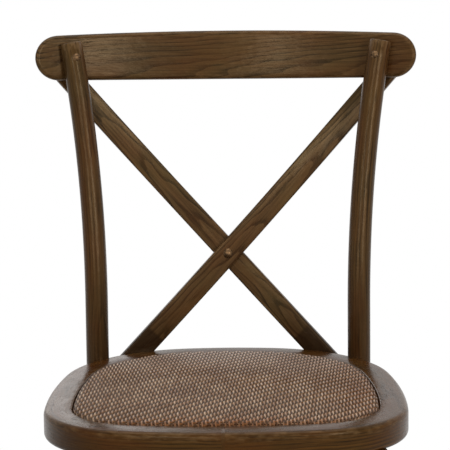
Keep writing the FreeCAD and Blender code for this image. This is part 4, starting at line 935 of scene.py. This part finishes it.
# Glides: a moulded nylon disc under each foot, pinned up into the leg. Dark brown, scuffed on the rim.
nylon, tree = new_finish("nylon_glide")
scuff = noise(tree, node(tree, "ShaderNodeTexCoord").outputs["Object"], 380.0, 4.0)
scuffed = stops(tree, scuff, (0.4, 0.0), (0.7, 1.0))
brown = blend_colours(tree, scuffed, linear(38, 30, 24), linear(74, 62, 50))
surface(tree, brown, 0.5, bumped(tree, scuff, 0.15, 0.0002))
refinish(("glide_front_left", "glide_front_right", "glide_rear_left", "glide_rear_right"), nylon)


# Floor: a plain pale studio floor that keeps the chair's soft shadow.
# It fades into the white surround a little way from the chair.
def seen_directly(tree):
    """1 for rays from the camera, mirrored or let through, and 0 for the rays that only light things."""
    path = node(tree, "ShaderNodeLightPath").outputs
    return maths(tree, "MAXIMUM", path["Is Camera Ray"],
                 maths(tree, "MAXIMUM", path["Is Glossy Ray"], path["Is Transmission Ray"]))


plane = bpy.data.meshes.new("floor")
plane.from_pydata([(-30, -30, 0), (30, -30, 0), (30, 30, 0), (-30, 30, 0)], [], [(0, 1, 2, 3)])
floor = add_object("floor", plane)
pale, tree = new_finish("pale_floor")
where = node(tree, "ShaderNodeNewGeometry").outputs["Position"]
away = node(tree, "ShaderNodeVectorMath", {0: where}, operation="LENGTH").outputs["Value"]
far = stops(tree, maths(tree, "DIVIDE", away, 3.0), (0.2, 0.45), (0.42, 1.0))
matt = node(tree, "ShaderNodeBsdfDiffuse", {"Color": (0.82, 0.82, 0.81, 1)})
white = node(tree, "ShaderNodeEmission", {"Color": (1, 1, 1, 1), "Strength": 1.0})
shown = node(tree, "ShaderNodeMixShader", {0: times(tree, seen_directly(tree), far), 1: matt.outputs[0],
                                           2: white.outputs[0]})
node(tree, "ShaderNodeOutputMaterial", {0: shown.outputs[0]})
plane.materials.append(pale)


# Light: a white surround, a tall soft lamp to the right of the photographer, a weaker one to the left
# and a broad one overhead. A faint lamp behind puts the sheen on the seat's left side.
world = bpy.data.worlds.new("studio")
bpy.context.scene.world = world
world.use_nodes = True
tree = world.node_tree
tree.nodes.clear()
surround = 0.22
level = plus(tree, times(tree, seen_directly(tree), 1 - surround), surround)
air = node(tree, "ShaderNodeBackground", {"Color": (1, 1, 1, 1), "Strength": level})
node(tree, "ShaderNodeOutputWorld", {0: air.outputs[0]})


def lamp(name, place, target, wide, tall, watts):
    """An oblong soft lamp aimed at a point."""
    light = bpy.data.lights.new(name, "AREA")
    light.shape = "RECTANGLE"
    light.size = wide
    light.size_y = tall
    light.energy = watts
    stand = add_object(name, light)
    stand.location = place
    stand.visible_camera = False
    stand.rotation_euler = (Vector(target) - Vector(place)).to_track_quat("-Z", "Y").to_euler()


lamp("left_lamp", (-0.8, -3.3, 1.6), (0, 0, 0.7), 0.4, 1.2, 22)
lamp("right_lamp", (1.8, -2.8, 1.6), (0, 0, 0.7), 0.7, 1.2, 41)
lamp("top_lamp", (0, 0, 3.0), (0, 0, 0.5), 2.0, 2.0, 30)
lamp("back_lamp", (-0.75, 2.4, 1.15), (0, -0.05, 0.45), 1.1, 0.5, 2.4)


# Camera: as in the photograph, looking 11 degrees down from a little to the right of the middle.
# The photograph is level but for a slight roll, and its long lens flattens the chair.
lens = bpy.data.cameras.new("camera")
lens.lens = 220.8
lens.sensor_width = 36
lens.clip_end = 100
camera = add_object("camera", lens)
camera.location = (0.050, -3.4395, 1.320)
look = Vector((0, -0.0395, 0.665)) - camera.location
turn = look.to_track_quat("-Z", "Y").to_matrix()
roll = math.radians(0.65)
camera.rotation_euler = (turn @ Matrix.Rotation(-roll, 3, "Z")).to_euler()
bpy.context.scene.camera = camera
bpy.context.scene.view_settings.view_transform = "Standard"
